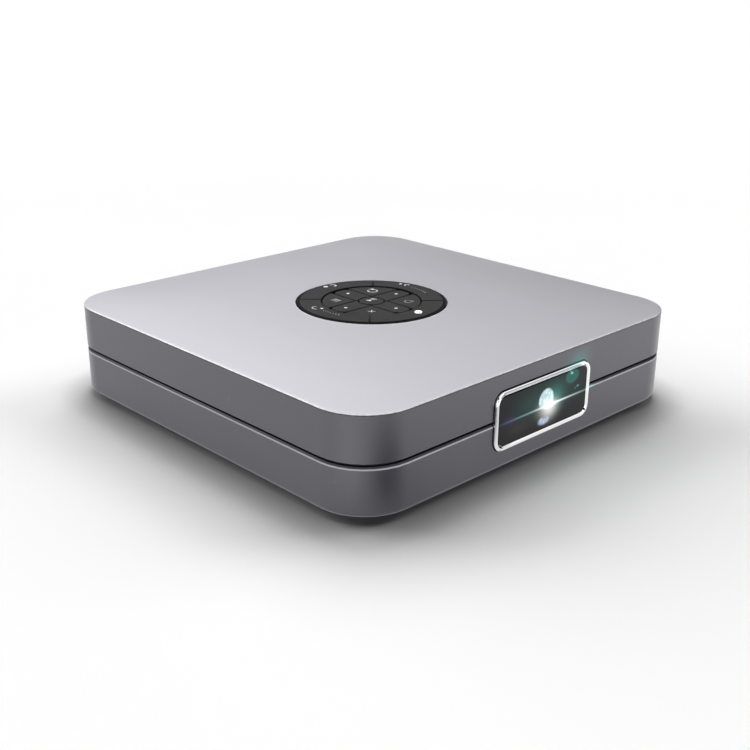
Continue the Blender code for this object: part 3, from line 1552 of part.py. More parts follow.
def make_speaker():
    """Small loudspeaker facing the floor's sound holes: basket, cone and magnet."""
    profile = [
        (0, SPEAKER_HEIGHT),
        (SPEAKER_MAGNET_RADIUS, SPEAKER_HEIGHT),
        (SPEAKER_MAGNET_RADIUS, SPEAKER_BASKET_HEIGHT),
        (SPEAKER_RADIUS, SPEAKER_BASKET_HEIGHT / 2),
        (SPEAKER_RADIUS, 0),
        (SPEAKER_CONE_RADIUS, 0),
        (SPEAKER_MAGNET_RADIUS / 2, SPEAKER_BASKET_HEIGHT),
        (0, SPEAKER_BASKET_HEIGHT),
    ]
    return turned(
        "speaker", profile, (SPEAKER_X, SPEAKER_Y, FLOOR_SEAT), material=black_plastic
    )


def make_main_board():
    """The main circuit board on its four posts."""
    return block(
        "main_board",
        (MAIN_BOARD_LEFT, MAIN_BOARD_FRONT_Y, MAIN_BOARD_BOTTOM),
        (MAIN_BOARD_RIGHT, MAIN_BOARD_BACK_Y, MAIN_BOARD_TOP),
        board_green,
    )


def hdmi_outline(inset, centre):
    """A connector mouth with its two lower corners cut away."""
    half = HDMI_WIDTH / 2 - inset
    top = centre[1] + HDMI_HEIGHT / 2 - inset
    low = centre[1] - HDMI_HEIGHT / 2 + inset
    x = centre[0]
    return [
        (x + half, top),
        (x - half, top),
        (x - half, low + HDMI_TAPER),
        (x - half + HDMI_TAPER, low),
        (x + half - HDMI_TAPER, low),
        (x + half, low + HDMI_TAPER),
    ]


def usb_outline(inset, centre):
    """A plain rectangular connector mouth."""
    half = USB_WIDTH / 2 - inset
    high = USB_HEIGHT / 2 - inset
    x, z = centre
    return [(x + half, z + high), (x - half, z + high), (x - half, z - high), (x + half, z - high)]


def hdmi_centre():
    """The middle of the HDMI mouth in X and Z."""
    return (MAIN_BOARD_LEFT + HDMI_FROM_BOARD_LEFT, CONNECTOR_BOTTOM + HDMI_HEIGHT / 2)


def usb_centre():
    """The middle of the USB mouth in X and Z."""
    return (MAIN_BOARD_LEFT + USB_FROM_BOARD_LEFT, CONNECTOR_BOTTOM + USB_HEIGHT / 2)


def make_connector(name, outline, centre, depth, tongue_width, tongue_thickness):
    """A metal shell open at the back of the body, with a contact tongue inside."""
    mouth = BACK_Y - CLEARANCE
    rear = mouth - depth
    shell = upright_slab(name, [outline(0, centre)], rear, mouth, steel)
    hollow = upright_slab(
        f"{name}_hollow",
        [outline(SHELL_WALL, centre)],
        rear + CONNECTOR_BACK,
        mouth + OVERRUN,
    )
    x, z = centre
    tongue = block(
        f"{name}_tongue",
        (x - tongue_width / 2, rear + CONNECTOR_BACK / 2, z - tongue_thickness / 2),
        (x + tongue_width / 2, mouth - TONGUE_SETBACK, z + tongue_thickness / 2),
    )
    cut(shell, hollow)
    join(shell, tongue)
    return shell


def jack_centre(from_board_left, body_size):
    """The middle of a round jack in X and Z."""
    return (MAIN_BOARD_LEFT + from_board_left, CONNECTOR_BOTTOM + body_size / 2)


def make_jack(name, centre, body_size, body_depth, collar_radius, bore_radius, pin_radius=0):
    """A moulded jack: a square body, a round collar in the panel and a blind bore."""
    x, z = centre
    half = body_size / 2
    collar_back = INNER_BACK_Y - OVERRUN
    mouth = BACK_Y - CLEARANCE
    jack = block(
        name,
        (x - half, collar_back - body_depth + OVERRUN, z - half),
        (x + half, collar_back, z + half),
        black_plastic,
    )
    collar = rod(
        f"{name}_collar",
        collar_radius,
        mouth - collar_back + OVERRUN,
        (x, mouth, z),
        TO_FRONT,
    )
    bore_depth = body_depth - CONNECTOR_BACK
    bore = rod(
        f"{name}_bore",
        bore_radius,
        bore_depth + OVERRUN,
        (x, mouth + OVERRUN, z),
        TO_FRONT,
    )
    join(jack, collar)
    cut(jack, bore)
    if pin_radius:
        pin = rod(
            f"{name}_pin",
            pin_radius,
            bore_depth,
            (x, mouth - TONGUE_SETBACK, z),
            TO_FRONT,
            steps=SMALL_ROUND_STEPS,
        )
        join(jack, pin)
    return jack


def switch_centre():
    """The middle of the power switch in X and Z."""
    return (MAIN_BOARD_LEFT + SWITCH_FROM_BOARD_LEFT, CONNECTOR_BOTTOM + SWITCH_BODY_HEIGHT / 2)


def knob_outline(clearance=0, travel=0):
    """The knob's outline at rest on the left, or with the room that it needs to slide."""
    x, z = switch_centre()
    left = x - (SWITCH_TRAVEL + SWITCH_KNOB_WIDTH) / 2 - clearance
    right = left + SWITCH_KNOB_WIDTH + 2 * clearance + travel
    half = SWITCH_KNOB_HEIGHT / 2 + clearance
    return [(right, z + half), (left, z + half), (left, z - half), (right, z - half)]


def make_switch():
    """Slide switch: a body on the board with a slot, and the knob in it."""
    x, z = switch_centre()
    body_back = INNER_BACK_Y - CLEARANCE
    body = block(
        "power_switch_body",
        (
            x - SWITCH_BODY_WIDTH / 2,
            body_back - SWITCH_BODY_DEPTH,
            z - SWITCH_BODY_HEIGHT / 2,
        ),
        (x + SWITCH_BODY_WIDTH / 2, body_back, z + SWITCH_BODY_HEIGHT / 2),
        black_plastic,
    )
    slot_front = body_back - SWITCH_BODY_DEPTH / 2
    slot = upright_slab(
        "switch_slot",
        [knob_outline(CLEARANCE, SWITCH_TRAVEL)],
        slot_front,
        body_back + OVERRUN,
    )
    cut(body, slot)
    upright_slab(
        "power_switch_knob",
        [knob_outline()],
        slot_front + CLEARANCE,
        BACK_Y + SWITCH_KNOB_STAND,
        black_plastic,
    )


def make_port_panel():
    """Dark plate in the back wall, with an opening for each connector and the switch."""
    jacks = (
        (AUDIO_COLLAR_RADIUS, jack_centre(AUDIO_FROM_BOARD_LEFT, AUDIO_BODY_SIZE)),
        (POWER_COLLAR_RADIUS, jack_centre(POWER_FROM_BOARD_LEFT, POWER_BODY_SIZE)),
    )
    outlines = [
        panel_outline(0),
        hdmi_outline(-CLEARANCE, hdmi_centre()),
        usb_outline(-CLEARANCE, usb_centre()),
        knob_outline(CLEARANCE, SWITCH_TRAVEL),
    ]
    outlines += [circle(radius + CLEARANCE, centre) for radius, centre in jacks]
    return upright_slab("port_panel", outlines, INNER_BACK_Y, BACK_Y, black_plastic)


def make_tripod_nut():
    """Brass insert for a tripod screw, flush with the bottom."""
    low = BODY_BOTTOM + CLEARANCE
    nut = rod("tripod_nut", NUT_RADIUS, SOCKET_DEPTH, (0, NUT_PLACE_Y, low), material=brass)
    bore = rod(
        "tripod_bore", SOCKET_RADIUS, SOCKET_DEPTH + 2 * OVERRUN, (0, NUT_PLACE_Y, low - OVERRUN)
    )
    cut(nut, bore)
    return nut


def make_feet():
    """Four rubber feet in recesses of the bottom."""
    top = BODY_BOTTOM + FOOT_RECESS - CLEARANCE
    profile = [
        (0, top),
        (FOOT_RADIUS, top),
        (FOOT_RADIUS, FOOT_ROUNDING),
        (FOOT_RADIUS - FOOT_ROUNDING, 0),
        (0, 0),
    ]
    for name, (x, y) in zip(corner_names("foot"), corner_places(FOOT_INSET)):
        turned(name, profile, (x, y, 0), material=rubber)


def make_casing_screws():
    """Four screws from below that hold the casing halves together."""
    low = BODY_BOTTOM + SCREW_HEAD_RECESS
    profile = [
        (0, SCREW_LENGTH),
        (SCREW_SHANK_RADIUS, SCREW_LENGTH),
        (SCREW_SHANK_RADIUS, SCREW_HEAD_HEIGHT),
        (SCREW_HEAD_RADIUS, SCREW_HEAD_HEIGHT),
        (SCREW_HEAD_RADIUS, 0),
        (0, 0),
    ]
    reach = SCREW_HEAD_RADIUS - SCREW_SLOT
    for name, (x, y) in zip(corner_names("casing_screw"), corner_places(BOSS_INSET)):
        screw = turned(
            name, profile, (x, y, low), material=steel, steps=SMALL_ROUND_STEPS
        )
        slots = [
            (
                (x - reach, y - SCREW_SLOT / 2, low - OVERRUN),
                (x + reach, y + SCREW_SLOT / 2, low + SCREW_SLOT),
            ),
            (
                (x - SCREW_SLOT / 2, y - reach, low - OVERRUN),
                (x + SCREW_SLOT / 2, y + reach, low + SCREW_SLOT),
            ),
        ]
        for index, slot in enumerate(slots):
            cut(screw, block(f"{name}_slot_{index}", *slot))


clear_scene()
parts = new_collection("mini_projector")
cutters = new_collection("cutters")

silver = finish("silver paint", (0.62, 0.62, 0.66), 0.35, 0.6)
gunmetal = finish("gunmetal paint", (0.14, 0.14, 0.15), 0.42, 0.4)
chrome = finish("chrome", (0.85, 0.86, 0.87), 0.08, 1.0)
dark_glass = finish("dark window glass", (0.02, 0.035, 0.035), 0.05)
clear_glass = finish("coated lens glass", (0.35, 0.5, 0.6), 0.03)
charcoal = finish("charcoal key plastic", (0.055, 0.055, 0.058), 0.5)
lamp_white = finish("indicator white", (0.95, 0.95, 0.95), 0.3)
rubber = finish("black rubber", (0.02, 0.02, 0.02), 0.8)
board_green = finish("circuit board green", (0.01, 0.10, 0.045), 0.45)
dark_metal = finish("black anodised metal", (0.03, 0.03, 0.03), 0.4, 0.6)
cast_metal = finish("cast magnesium", (0.32, 0.32, 0.33), 0.55, 0.9)
steel = finish("bright steel", (0.55, 0.55, 0.56), 0.3, 1.0)
aluminium = finish("plain aluminium", (0.72, 0.73, 0.75), 0.35, 1.0)
copper = finish("copper", (0.72, 0.35, 0.20), 0.3, 1.0)
brass = finish("brass", (0.72, 0.55, 0.25), 0.3, 1.0)
black_plastic = finish("black plastic", (0.025, 0.025, 0.027), 0.5)
battery_blue = finish("battery sleeve blue", (0.03, 0.10, 0.28), 0.4)
dark_ceramic = finish("chip ceramic", (0.10, 0.10, 0.11), 0.4)
lamp_finishes = {
    "red_lamp": finish("red lamp", (0.55, 0.05, 0.04), 0.4),
    "green_lamp": finish("green lamp", (0.05, 0.45, 0.10), 0.4),
    "blue_lamp": finish("blue lamp", (0.05, 0.12, 0.60), 0.4),
}

make_top_cover()
make_upper_casing()
make_lower_casing()
make_lens_frame()
make_window()
make_keypad_frame()
all_keys = make_keys()
make_indicator(all_keys["ring_key_front"])
make_dome_sheet()
make_keypad_board()
make_lens_barrel()
make_lenses()
make_guides()
make_focus_drive()
make_light_engine()
make_optics()
make_lamps()
make_heat_pipe()
make_heat_sink()
make_fan()
make_battery()
make_speaker()
make_main_board()
make_connector(
    "hdmi_port", hdmi_outline, hdmi_centre(), HDMI_DEPTH, HDMI_TONGUE_WIDTH, HDMI_TONGUE_THICKNESS
)
make_connector(
    "usb_port", usb_outline, usb_centre(), USB_DEPTH, USB_TONGUE_WIDTH, USB_TONGUE_THICKNESS
)
make_jack(
    "audio_jack",
    jack_centre(AUDIO_FROM_BOARD_LEFT, AUDIO_BODY_SIZE),
    AUDIO_BODY_SIZE,
    AUDIO_BODY_DEPTH,
    AUDIO_COLLAR_RADIUS,
    AUDIO_BORE_RADIUS,
)
make_jack(
    "power_jack",
    jack_centre(POWER_FROM_BOARD_LEFT, POWER_BODY_SIZE),
    POWER_BODY_SIZE,
    POWER_BODY_DEPTH,
    POWER_COLLAR_RADIUS,
    POWER_BORE_RADIUS,
    POWER_PIN_RADIUS,
)
make_switch()
make_port_panel()
make_tripod_nut()
make_feet()
make_casing_screws()
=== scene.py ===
"""Looks of a mini projector: paints, plastics, glass and light, small added pieces, camera and studio."""

import math

import bmesh
import bpy
import numpy as np
from mathutils import Matrix, Vector


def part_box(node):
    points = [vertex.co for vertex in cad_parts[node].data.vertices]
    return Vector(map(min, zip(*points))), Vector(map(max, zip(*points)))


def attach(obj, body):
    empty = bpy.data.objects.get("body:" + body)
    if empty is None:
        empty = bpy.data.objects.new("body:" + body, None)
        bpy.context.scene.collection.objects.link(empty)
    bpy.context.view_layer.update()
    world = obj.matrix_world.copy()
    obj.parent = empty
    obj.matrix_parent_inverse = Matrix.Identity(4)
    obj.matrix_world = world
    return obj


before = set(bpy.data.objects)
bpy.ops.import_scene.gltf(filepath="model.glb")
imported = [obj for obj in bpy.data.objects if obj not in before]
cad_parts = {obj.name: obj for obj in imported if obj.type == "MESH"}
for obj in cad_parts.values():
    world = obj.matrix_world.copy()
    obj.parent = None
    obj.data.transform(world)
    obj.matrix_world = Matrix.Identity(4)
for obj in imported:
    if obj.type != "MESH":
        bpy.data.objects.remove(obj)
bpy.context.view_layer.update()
MM = 0.001

# Places of the object that the added pieces and patterns need, in metres
BODY_HALF_WIDTH = 0.075
BODY_HALF_DEPTH = 0.07525
BODY_CORNER = 0.017
KEY_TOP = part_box("ring_key_back")[1][2]
INNER_KEY_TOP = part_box("centre_key")[1][2]
KEYPAD_HOLE_RADIUS = 0.0262
FRAME_CENTRE_Z = 0.01726
FRAME_HALF_WIDTH = 0.0227
FRAME_HALF_HEIGHT = 0.0094
FRAME_CORNER = 0.0038
FRONT_Y = -BODY_HALF_DEPTH
# Heights of the lower casing's lip, where a painted highlight is centred, and of the casings' gap, below
# which a band of painted shade lies
PARTING_LIP_Z = 0.01642
PARTING_GAP_Z = PARTING_LIP_Z + 1.1 * MM

# How far the signs on the keys stand out, and how deep their undersides sit in the key
INK_RISE = 0.00004
INK_SINK = 0.00002

# The camera: degrees of its compass heading, drop below level and roll, its place, and its focal length
CAMERA_HEADING = 43.8467
CAMERA_DROP = 20.7684
CAMERA_ROLL = 0.2928
CAMERA_PLACE = (-0.247468, -0.259563, 0.141909)
FOCAL_LENGTH = 52.0517

# Plan directions of the studio: from the near corner to the far one, and from left to right
FAR_WARDS = (0.693, 0.721, 0.0)
RIGHT_WARDS = (0.722, -0.692, 0.0)

# Studio light: for each soft lamp its compass turn, height, width in degrees, and strength
SOFT_LIGHT = 0.03
LAMPS = {
    "back_lamp": (46.3, 49.7, 41.4, 1.8),
    "left_lamp": (-10.0, 13.9, 64.2, 4.1),
    "right_lamp": (104.5, 33.5, 34.2, 1.02),
}

# What gloss sees of the floor near the closest corner: for each card its middle, reach and change of light
FLOOR_CARDS = [
    ((-0.0655, -0.114, 0.0), (0.024, 0.028, 0), -1.3),
    ((-0.12, -0.084, 0.0), (0.034, 0.026, 0), 0.42),
]

# What gloss sees of the studio: the level beyond the object grows from the first rise to the second,
# and is leaned from left to right. The near side and overhead have a level of their own.
FAR_RISES = (0.22, 0.53)
FAR_LEVELS = (0.03, 2.16)
LEAN_REACH = (-0.42, 0.36)
LEAN_SHARES = (1.24, 0.42)
NEAR_LEVEL = 1.3
OVERHEAD_LEVEL = 1.12

# Round the cover: the gasket's closed section as insets from the body's outline and heights, in metres,
# and the section of the lip at the keypad's hole as distances from its wall and heights above the cover
GASKET_SECTION = [
    (0.0006, 0.0318), (0.00018, 0.0319), (0.00012, 0.03205), (0.00018, 0.0322), (0.0006, 0.0323),
]
LIP_SECTION = [
    (0.00042, -0.00006), (0.00024, 0.00001), (0.0001, 0.00005),
    (0.00001, 0.00004), (0.00001, -0.0003), (0.00042, -0.0003),
]

# Spots of light in the window: x, z, width and height in millimetres, screen colour, strength
FLARE_SPOTS = [
    # the white core and its glow
    (2.6, 16.6, 3.0, 0.75, (255, 255, 255), 1.1),
    (2.3, 16.2, 4.0, 2.4, (250, 246, 242), 0.55),
    (2.6, 14.4, 3.4, 2.4, (250, 246, 246), 0.4),
    # blue-green haze
    (5.0, 18.6, 3.8, 3.6, (70, 200, 185), 0.2),
    (-5.0, 19.0, 8.5, 4.5, (26, 72, 66), 0.55),
    (8.0, 20.0, 9.0, 5.0, (22, 70, 64), 0.5),
    # small sparks at the upper right
    (13.2, 24.2, 0.5, 0.3, (190, 255, 248), 0.8),
    (12.7, 24.9, 0.35, 0.25, (150, 255, 240), 0.3),
    (16.6, 19.2, 0.6, 0.3, (150, 255, 240), 0.3),
    (15.4, 18.7, 0.4, 0.25, (150, 255, 240), 0.15),
    # violet and brown shades at the left
    (-16.0, 16.4, 3.6, 1.6, (60, 50, 110), 0.22),
    (-12.0, 13.0, 5.0, 2.0, (52, 40, 34), 0.5),
    # the level streak
    (-2.0, 16.62, 3.5, 0.3, (230, 248, 248), 0.5),
    (7.0, 16.66, 4.5, 0.3, (235, 252, 250), 0.7),
    (13.5, 16.68, 8.0, 0.28, (196, 232, 228), 0.6),
    (-8.5, 16.58, 5.5, 0.28, (140, 178, 182), 0.55),
    (-16.5, 16.52, 4.5, 0.34, (76, 92, 124), 0.4),
]

# The same for the light that falls beside the window: the streak's ends, then a patch above its right end
SPILL_SPOTS = [
    (22.5, 16.66, 3.4, 0.36, (150, 200, 198), 0.6),
    (26.0, 16.7, 4.0, 0.45, (60, 108, 110), 0.6),
    (-24.5, 16.6, 3.0, 0.4, (50, 50, 80), 0.4),
    (17.7, 28.0, 4.8, 2.6, (16, 78, 72), 1.0),
    (16.5, 26.2, 5.0, 1.0, (40, 110, 104), 0.5),
]


# ---------------------------------------------------------------- node trees


class Graph:
    """A node tree with short calls that add a node, set it up and join it."""

    def __init__(self, tree):
        self.tree = tree

    def add(self, kind, inputs=None, **settings):
        """Adds a node, sets its properties, then sets or joins its inputs by name or number."""
        node = self.tree.nodes.new(kind)
        for name, value in settings.items():
            setattr(node, name, value)
        for key, value in (inputs or {}).items():
            self.feed(node.inputs[key], value)
        return node

    def feed(self, socket, value):
        """Joins a socket to another one, or gives it a plain value."""
        if isinstance(value, bpy.types.NodeSocket):
            self.tree.links.new(value, socket)
        else:
            socket.default_value = value

    def math(self, operation, a, b=0.0):
        """A sum on values."""
        return self.add("ShaderNodeMath", {0: a, 1: b}, operation=operation).outputs[0]

    def vector(self, operation, a, b=(0, 0, 0)):
        """A sum on places, directions or colours."""
        node = self.add("ShaderNodeVectorMath", {0: a, 1: b}, operation=operation)
        result = "Value" if operation in ("DOT_PRODUCT", "LENGTH", "DISTANCE") else "Vector"
        return node.outputs[result]

    def ramp(self, value, low, high, out_low=0.0, out_high=1.0, smooth=True):
        """A value moved from one range to another and held at its ends."""
        kind = "SMOOTHSTEP" if smooth else "LINEAR"
        places = {"Value": value, "From Min": low, "From Max": high}
        results = {"To Min": out_low, "To Max": out_high}
        node = self.add("ShaderNodeMapRange", {**places, **results}, interpolation_type=kind)
        return node.outputs["Result"]

    def mix(self, factor, a, b, how="MIX"):
        """Two colours mixed."""
        node = self.add("ShaderNodeMix", data_type="RGBA", blend_type=how)
        self.feed(node.inputs["Factor"], factor)
        self.feed(node.inputs[6], rgba(a))
        self.feed(node.inputs[7], rgba(b))
        return node.outputs[2]

    def place(self):
        """The point's place on the object."""
        return self.add("ShaderNodeTexCoord").outputs["Object"]

    def split(self, vector):
        """The three shares of a vector."""
        node = self.add("ShaderNodeSeparateXYZ", {0: vector})
        return node.outputs[0], node.outputs[1], node.outputs[2]

    def noise(self, vector, scale, detail=3.0, rough=0.5, output="Fac"):
        """Cloudy noise from 0 to 1 at a place."""
        values = {"Vector": vector, "Scale": scale, "Detail": detail, "Roughness": rough}
        return self.add("ShaderNodeTexNoise", values).outputs[output]

    def stretched(self, vector, scale):
        """A place multiplied along each axis."""
        return self.vector("MULTIPLY", vector, scale)

    def spot(self, vector, centre, reach):
        """A soft round spot: e to the power of minus the squared distance over the reach."""
        away = self.vector("SUBTRACT", vector, centre)
        scaled = self.vector("MULTIPLY", away, tuple(1 / r if r else 0 for r in reach))
        squared = self.vector("DOT_PRODUCT", scaled, scaled)
        return self.math("EXPONENT", self.math("MULTIPLY", squared, -1.0))

    def oval(self, vector, centre, reach, soft):
        """An oval patch in the front plane: 1 inside, falling to 0 at its edge over the soft share."""
        away = self.vector("SUBTRACT", vector, centre)
        scaled = self.vector("MULTIPLY", away, (1 / reach[0], 0.0, 1 / reach[1]))
        return self.ramp(self.vector("LENGTH", scaled), 1.0, 1.0 - soft)

    def scaled(self, vector, share):
        """A colour or a direction times a value."""
        node = self.add("ShaderNodeVectorMath", {0: vector, "Scale": share}, operation="SCALE")
        return node.outputs["Vector"]

    def total_values(self, values):
        """Values added up."""
        result = values[0]
        for value in values[1:]:
            result = self.math("ADD", result, value)
        return result

    def total(self, vectors):
        """Colours or directions added up."""
        result = vectors[0]
        for vector in vectors[1:]:
            result = self.vector("ADD", result, vector)
        return result

    def either(self, share, first, second):
        """Two shaders mixed: the first where the share is 0, the second where it is 1."""
        return self.add("ShaderNodeMixShader", {0: share, 1: first, 2: second}).outputs[0]

    def bump(self, height, distance, normal=None):
        """The normal of a surface raised by a height over a distance in metres."""
        values = {"Height": height, "Distance": distance, "Strength": 1.0}
        if normal is not None:
            values["Normal"] = normal
        return self.add("ShaderNodeBump", values).outputs["Normal"]


def rgba(colour):
    """A colour of three shares as four."""
    if isinstance(colour, bpy.types.NodeSocket) or len(colour) == 4:
        return colour
    return (*colour, 1.0)


def srgb(red, green, blue):
    """A screen colour from 0 to 255 as light shares."""
    shares = np.array([red, green, blue]) / 255
    low = shares / 12.92
    high = ((shares + 0.055) / 1.055) ** 2.4
    return tuple(float(v) for v in np.where(shares <= 0.04045, low, high))


def new_group(name, inputs, outputs):
    """An empty effect group with named inputs and outputs, each given as kind and value."""
    group = bpy.data.node_groups.new(name, "ShaderNodeTree")
    for title, (kind, value) in inputs.items():
        socket = group.interface.new_socket(title, in_out="INPUT", socket_type=kind)
        socket.default_value = value
    for title, kind in outputs.items():
        group.interface.new_socket(title, in_out="OUTPUT", socket_type=kind)
    graph = Graph(group)
    entry = graph.add("NodeGroupInput")
    leave = graph.add("NodeGroupOutput")
    return group, graph, entry.outputs, leave.inputs


FLOAT = "NodeSocketFloat"
COLOUR = "NodeSocketColor"


def grain_group():
    """Fine even grain of paint or moulded plastic: two sizes of noise on the object's place."""
    inputs = {"Scale": (FLOAT, 4000.0), "Contrast": (FLOAT, 1.0)}
    outputs = {"Height": FLOAT, "Shade": FLOAT}
    group, graph, given, result = new_group("fine_grain", inputs, outputs)
    place = graph.place()
    fine = graph.noise(place, given["Scale"], 2.0)
    broad = graph.noise(place, graph.math("MULTIPLY", given["Scale"], 0.27), 2.0)
    both = graph.math("ADD", graph.math("MULTIPLY", fine, 0.65), graph.math("MULTIPLY", broad, 0.35))
    away = graph.math("SUBTRACT", both, 0.5)
    graph.feed(result["Height"], both)
    swing = graph.math("MULTIPLY", away, given["Contrast"])
    graph.feed(result["Shade"], graph.math("ADD", swing, 1.0))
    return group


def handling_group():
    """Marks of handling: soft smudges, and thin scratches where a stretched noise is near its middle."""
    inputs = {"Scale": (FLOAT, 40.0), "Scratches": (FLOAT, 0.5)}
    outputs = {"Smudge": FLOAT, "Scratch": FLOAT}
    group, graph, given, result = new_group("handling_marks", inputs, outputs)
    place = graph.place()
    cloud = graph.noise(place, given["Scale"], 5.0, 0.62)
    graph.feed(result["Smudge"], graph.ramp(cloud, 0.38, 0.68))
    bent = graph.noise(place, 90.0, 1.0, output="Color")
    moved = graph.vector("ADD", place, graph.stretched(bent, (0.004, 0.004, 0.004)))
    lines = []
    for stretch in ((60.0, 900.0, 200.0), (800.0, 70.0, 200.0), (420.0, 300.0, 90.0)):
        thread = graph.noise(graph.stretched(moved, stretch), 1.0, 0.0)
        near = graph.math("ABSOLUTE", graph.math("SUBTRACT", thread, 0.5))
        lines.append(graph.ramp(near, 0.0, 0.006, 1.0, 0.0))
    joined = graph.math("MAXIMUM", graph.math("MAXIMUM", lines[0], lines[1]), lines[2])
    patches = graph.ramp(graph.noise(place, 130.0, 2.0), 0.56, 0.66)
    thin = graph.math("MULTIPLY", joined, patches)
    graph.feed(result["Scratch"], graph.math("MULTIPLY", thin, given["Scratches"]))
    return group


def edge_group():
    """Edges drawn towards another colour, as wear, and on the satin silver and gunmetal paints as a painted
    highlight: where a rounded normal turns away from the face's own normal, broken up by noise.
    """
    inputs = {"Width": (FLOAT, 0.0003), "Wear": (FLOAT, 0.5)}
    outputs = {"Edge": FLOAT}
    group, graph, given, result = new_group("worn_and_highlit_edges", inputs, outputs)
    rounded = graph.add("ShaderNodeBevel", {"Radius": given["Width"]}, samples=4)
    plain = graph.add("ShaderNodeNewGeometry").outputs["Normal"]
    turn = graph.vector("DOT_PRODUCT", rounded.outputs["Normal"], plain)
    edge = graph.ramp(turn, 0.995, 0.86)
    broken = graph.ramp(graph.noise(graph.place(), 700.0, 4.0), 0.35, 0.65)
    graph.feed(result["Edge"], graph.math("MULTIPLY", graph.math("MULTIPLY", edge, broken), given["Wear"]))
    return group


def brushed_group():
    """Fine lines of brushed or turned metal: noise drawn out along one axis."""
    inputs = {"Across": (FLOAT, 6000.0), "Along": (FLOAT, 90.0)}
    outputs = {"Line": FLOAT}
    group, graph, given, result = new_group("brushed_lines", inputs, outputs)
    x, y, z = graph.split(graph.place())
    wide = graph.math("MULTIPLY", x, given["Along"])
    deep = graph.math("MULTIPLY", y, given["Across"])
    tall = graph.math("MULTIPLY", z, given["Across"])
    stretched = graph.add("ShaderNodeCombineXYZ", {0: wide, 1: deep, 2: tall}).outputs[0]
    graph.feed(result["Line"], graph.noise(stretched, 1.0, 3.0))
    return group


def glow_parts(graph, place, parts):
    """Soft spots of light in the front plane, added up: e to the power of minus the squared distance
    from each middle over its reach. Each part is x, z, width, height in millimetres, colour, strength."""
    lights = []
    for x, z, wide, high, colour, strength in parts:
        glow = graph.spot(place, (x * MM, 0.0, z * MM), (wide * MM, 0, high * MM))
        lights.append(graph.scaled(tuple(strength * share for share in srgb(*colour)), glow))
    return graph.total(lights)


def flare_group():
    """The lit lens seen through the window: a white core, the bright top of the lens, a blue crescent
    below, a level streak and faint ghosts."""
    outputs = {"Light": COLOUR}
    group, graph, given, result = new_group("lens_flare", {}, outputs)
    place = graph.place()
    spots = glow_parts(graph, place, FLARE_SPOTS)
    facets = graph.add("ShaderNodeTexVoronoi", {"Vector": place, "Scale": 850.0})
    facet = graph.ramp(facets.outputs["Distance"], 0.1, 0.8, 1.08, 0.7)
    dome = graph.oval(place, (0.9 * MM, 0.0, 18.7 * MM), (3.9 * MM, 4.0 * MM), 0.2)
    above = graph.ramp(graph.split(place)[2], 16.4 * MM, 18.2 * MM)
    dome = graph.math("MULTIPLY", graph.math("MULTIPLY", dome, above), facet)
    low = graph.oval(place, (0.1 * MM, 0.0, 12.1 * MM), (3.4 * MM, 1.7 * MM), 0.5)
    bite = graph.oval(place, (0.9 * MM, 0.0, 13.6 * MM), (2.6 * MM, 1.5 * MM), 0.6)
    crescent = graph.math("MULTIPLY", low, graph.ramp(bite, 0.0, 1.0, 1.0, 0.3, smooth=False))
    crescent = graph.math("MULTIPLY", crescent, facet)
    ghost = graph.oval(place, (13.5 * MM, 0.0, 23.2 * MM), (4.0 * MM, 2.7 * MM), 0.35)
    shapes = graph.total([
        graph.scaled(tuple(0.9 * share for share in srgb(222, 242, 247)), dome),
        graph.scaled(tuple(0.8 * share for share in srgb(180, 200, 232)), crescent),
        graph.scaled(tuple(0.62 * share for share in srgb(40, 104, 98)), ghost),
    ])
    graph.feed(result["Light"], graph.total([spots, shapes]))
    return group


def spill_group():
    """Light of the lens that falls on the front beside the window: the streak's end and a faint patch."""
    outputs = {"Light": COLOUR}
    group, graph, given, result = new_group("lens_spill", {}, outputs)
    place = graph.place()
    light = glow_parts(graph, place, SPILL_SPOTS)
    front = graph.ramp(graph.split(place)[1], FRONT_Y + 0.6 * MM, FRONT_Y + 0.1 * MM)
    graph.feed(result["Light"], graph.scaled(light, front))
    return group


def frame_profile_group():
    """The frame's face: its outer part is sloped along the top and the left.

    The inset is the distance inside a rectangle with rounded corners: the length of what a point lies
    beyond the corner centres, plus the larger of the two when both are inside, less the corner radius.
    """
    outputs = {"Height": FLOAT}
    group, graph, given, result = new_group("frame_profile", {}, outputs)
    x, y, z = graph.split(graph.place())
    tall = graph.math("SUBTRACT", z, FRAME_CENTRE_Z)
    across = graph.math("SUBTRACT", graph.math("ABSOLUTE", x), FRAME_HALF_WIDTH - FRAME_CORNER)
    upward = graph.math("SUBTRACT", graph.math("ABSOLUTE", tall), FRAME_HALF_HEIGHT - FRAME_CORNER)
    beyond = graph.add("ShaderNodeCombineXYZ", {
        0: graph.math("MAXIMUM", across, 0.0), 1: graph.math("MAXIMUM", upward, 0.0)
    }).outputs[0]
    inside = graph.math("MINIMUM", graph.math("MAXIMUM", across, upward), 0.0)
    distance = graph.math("ADD", graph.vector("LENGTH", beyond), inside)
    inset = graph.math("SUBTRACT", FRAME_CORNER, distance)
    slope = graph.ramp(inset, 0.2 * MM, 0.95 * MM, smooth=False)
    up_share = graph.math("DIVIDE", tall, FRAME_HALF_HEIGHT)
    right_share = graph.math("DIVIDE", x, FRAME_HALF_WIDTH)
    share = graph.math("SUBTRACT", up_share, right_share)
    graph.feed(result["Height"], graph.math("MULTIPLY", slope, graph.ramp(share, -0.25, 0.45)))
    return group


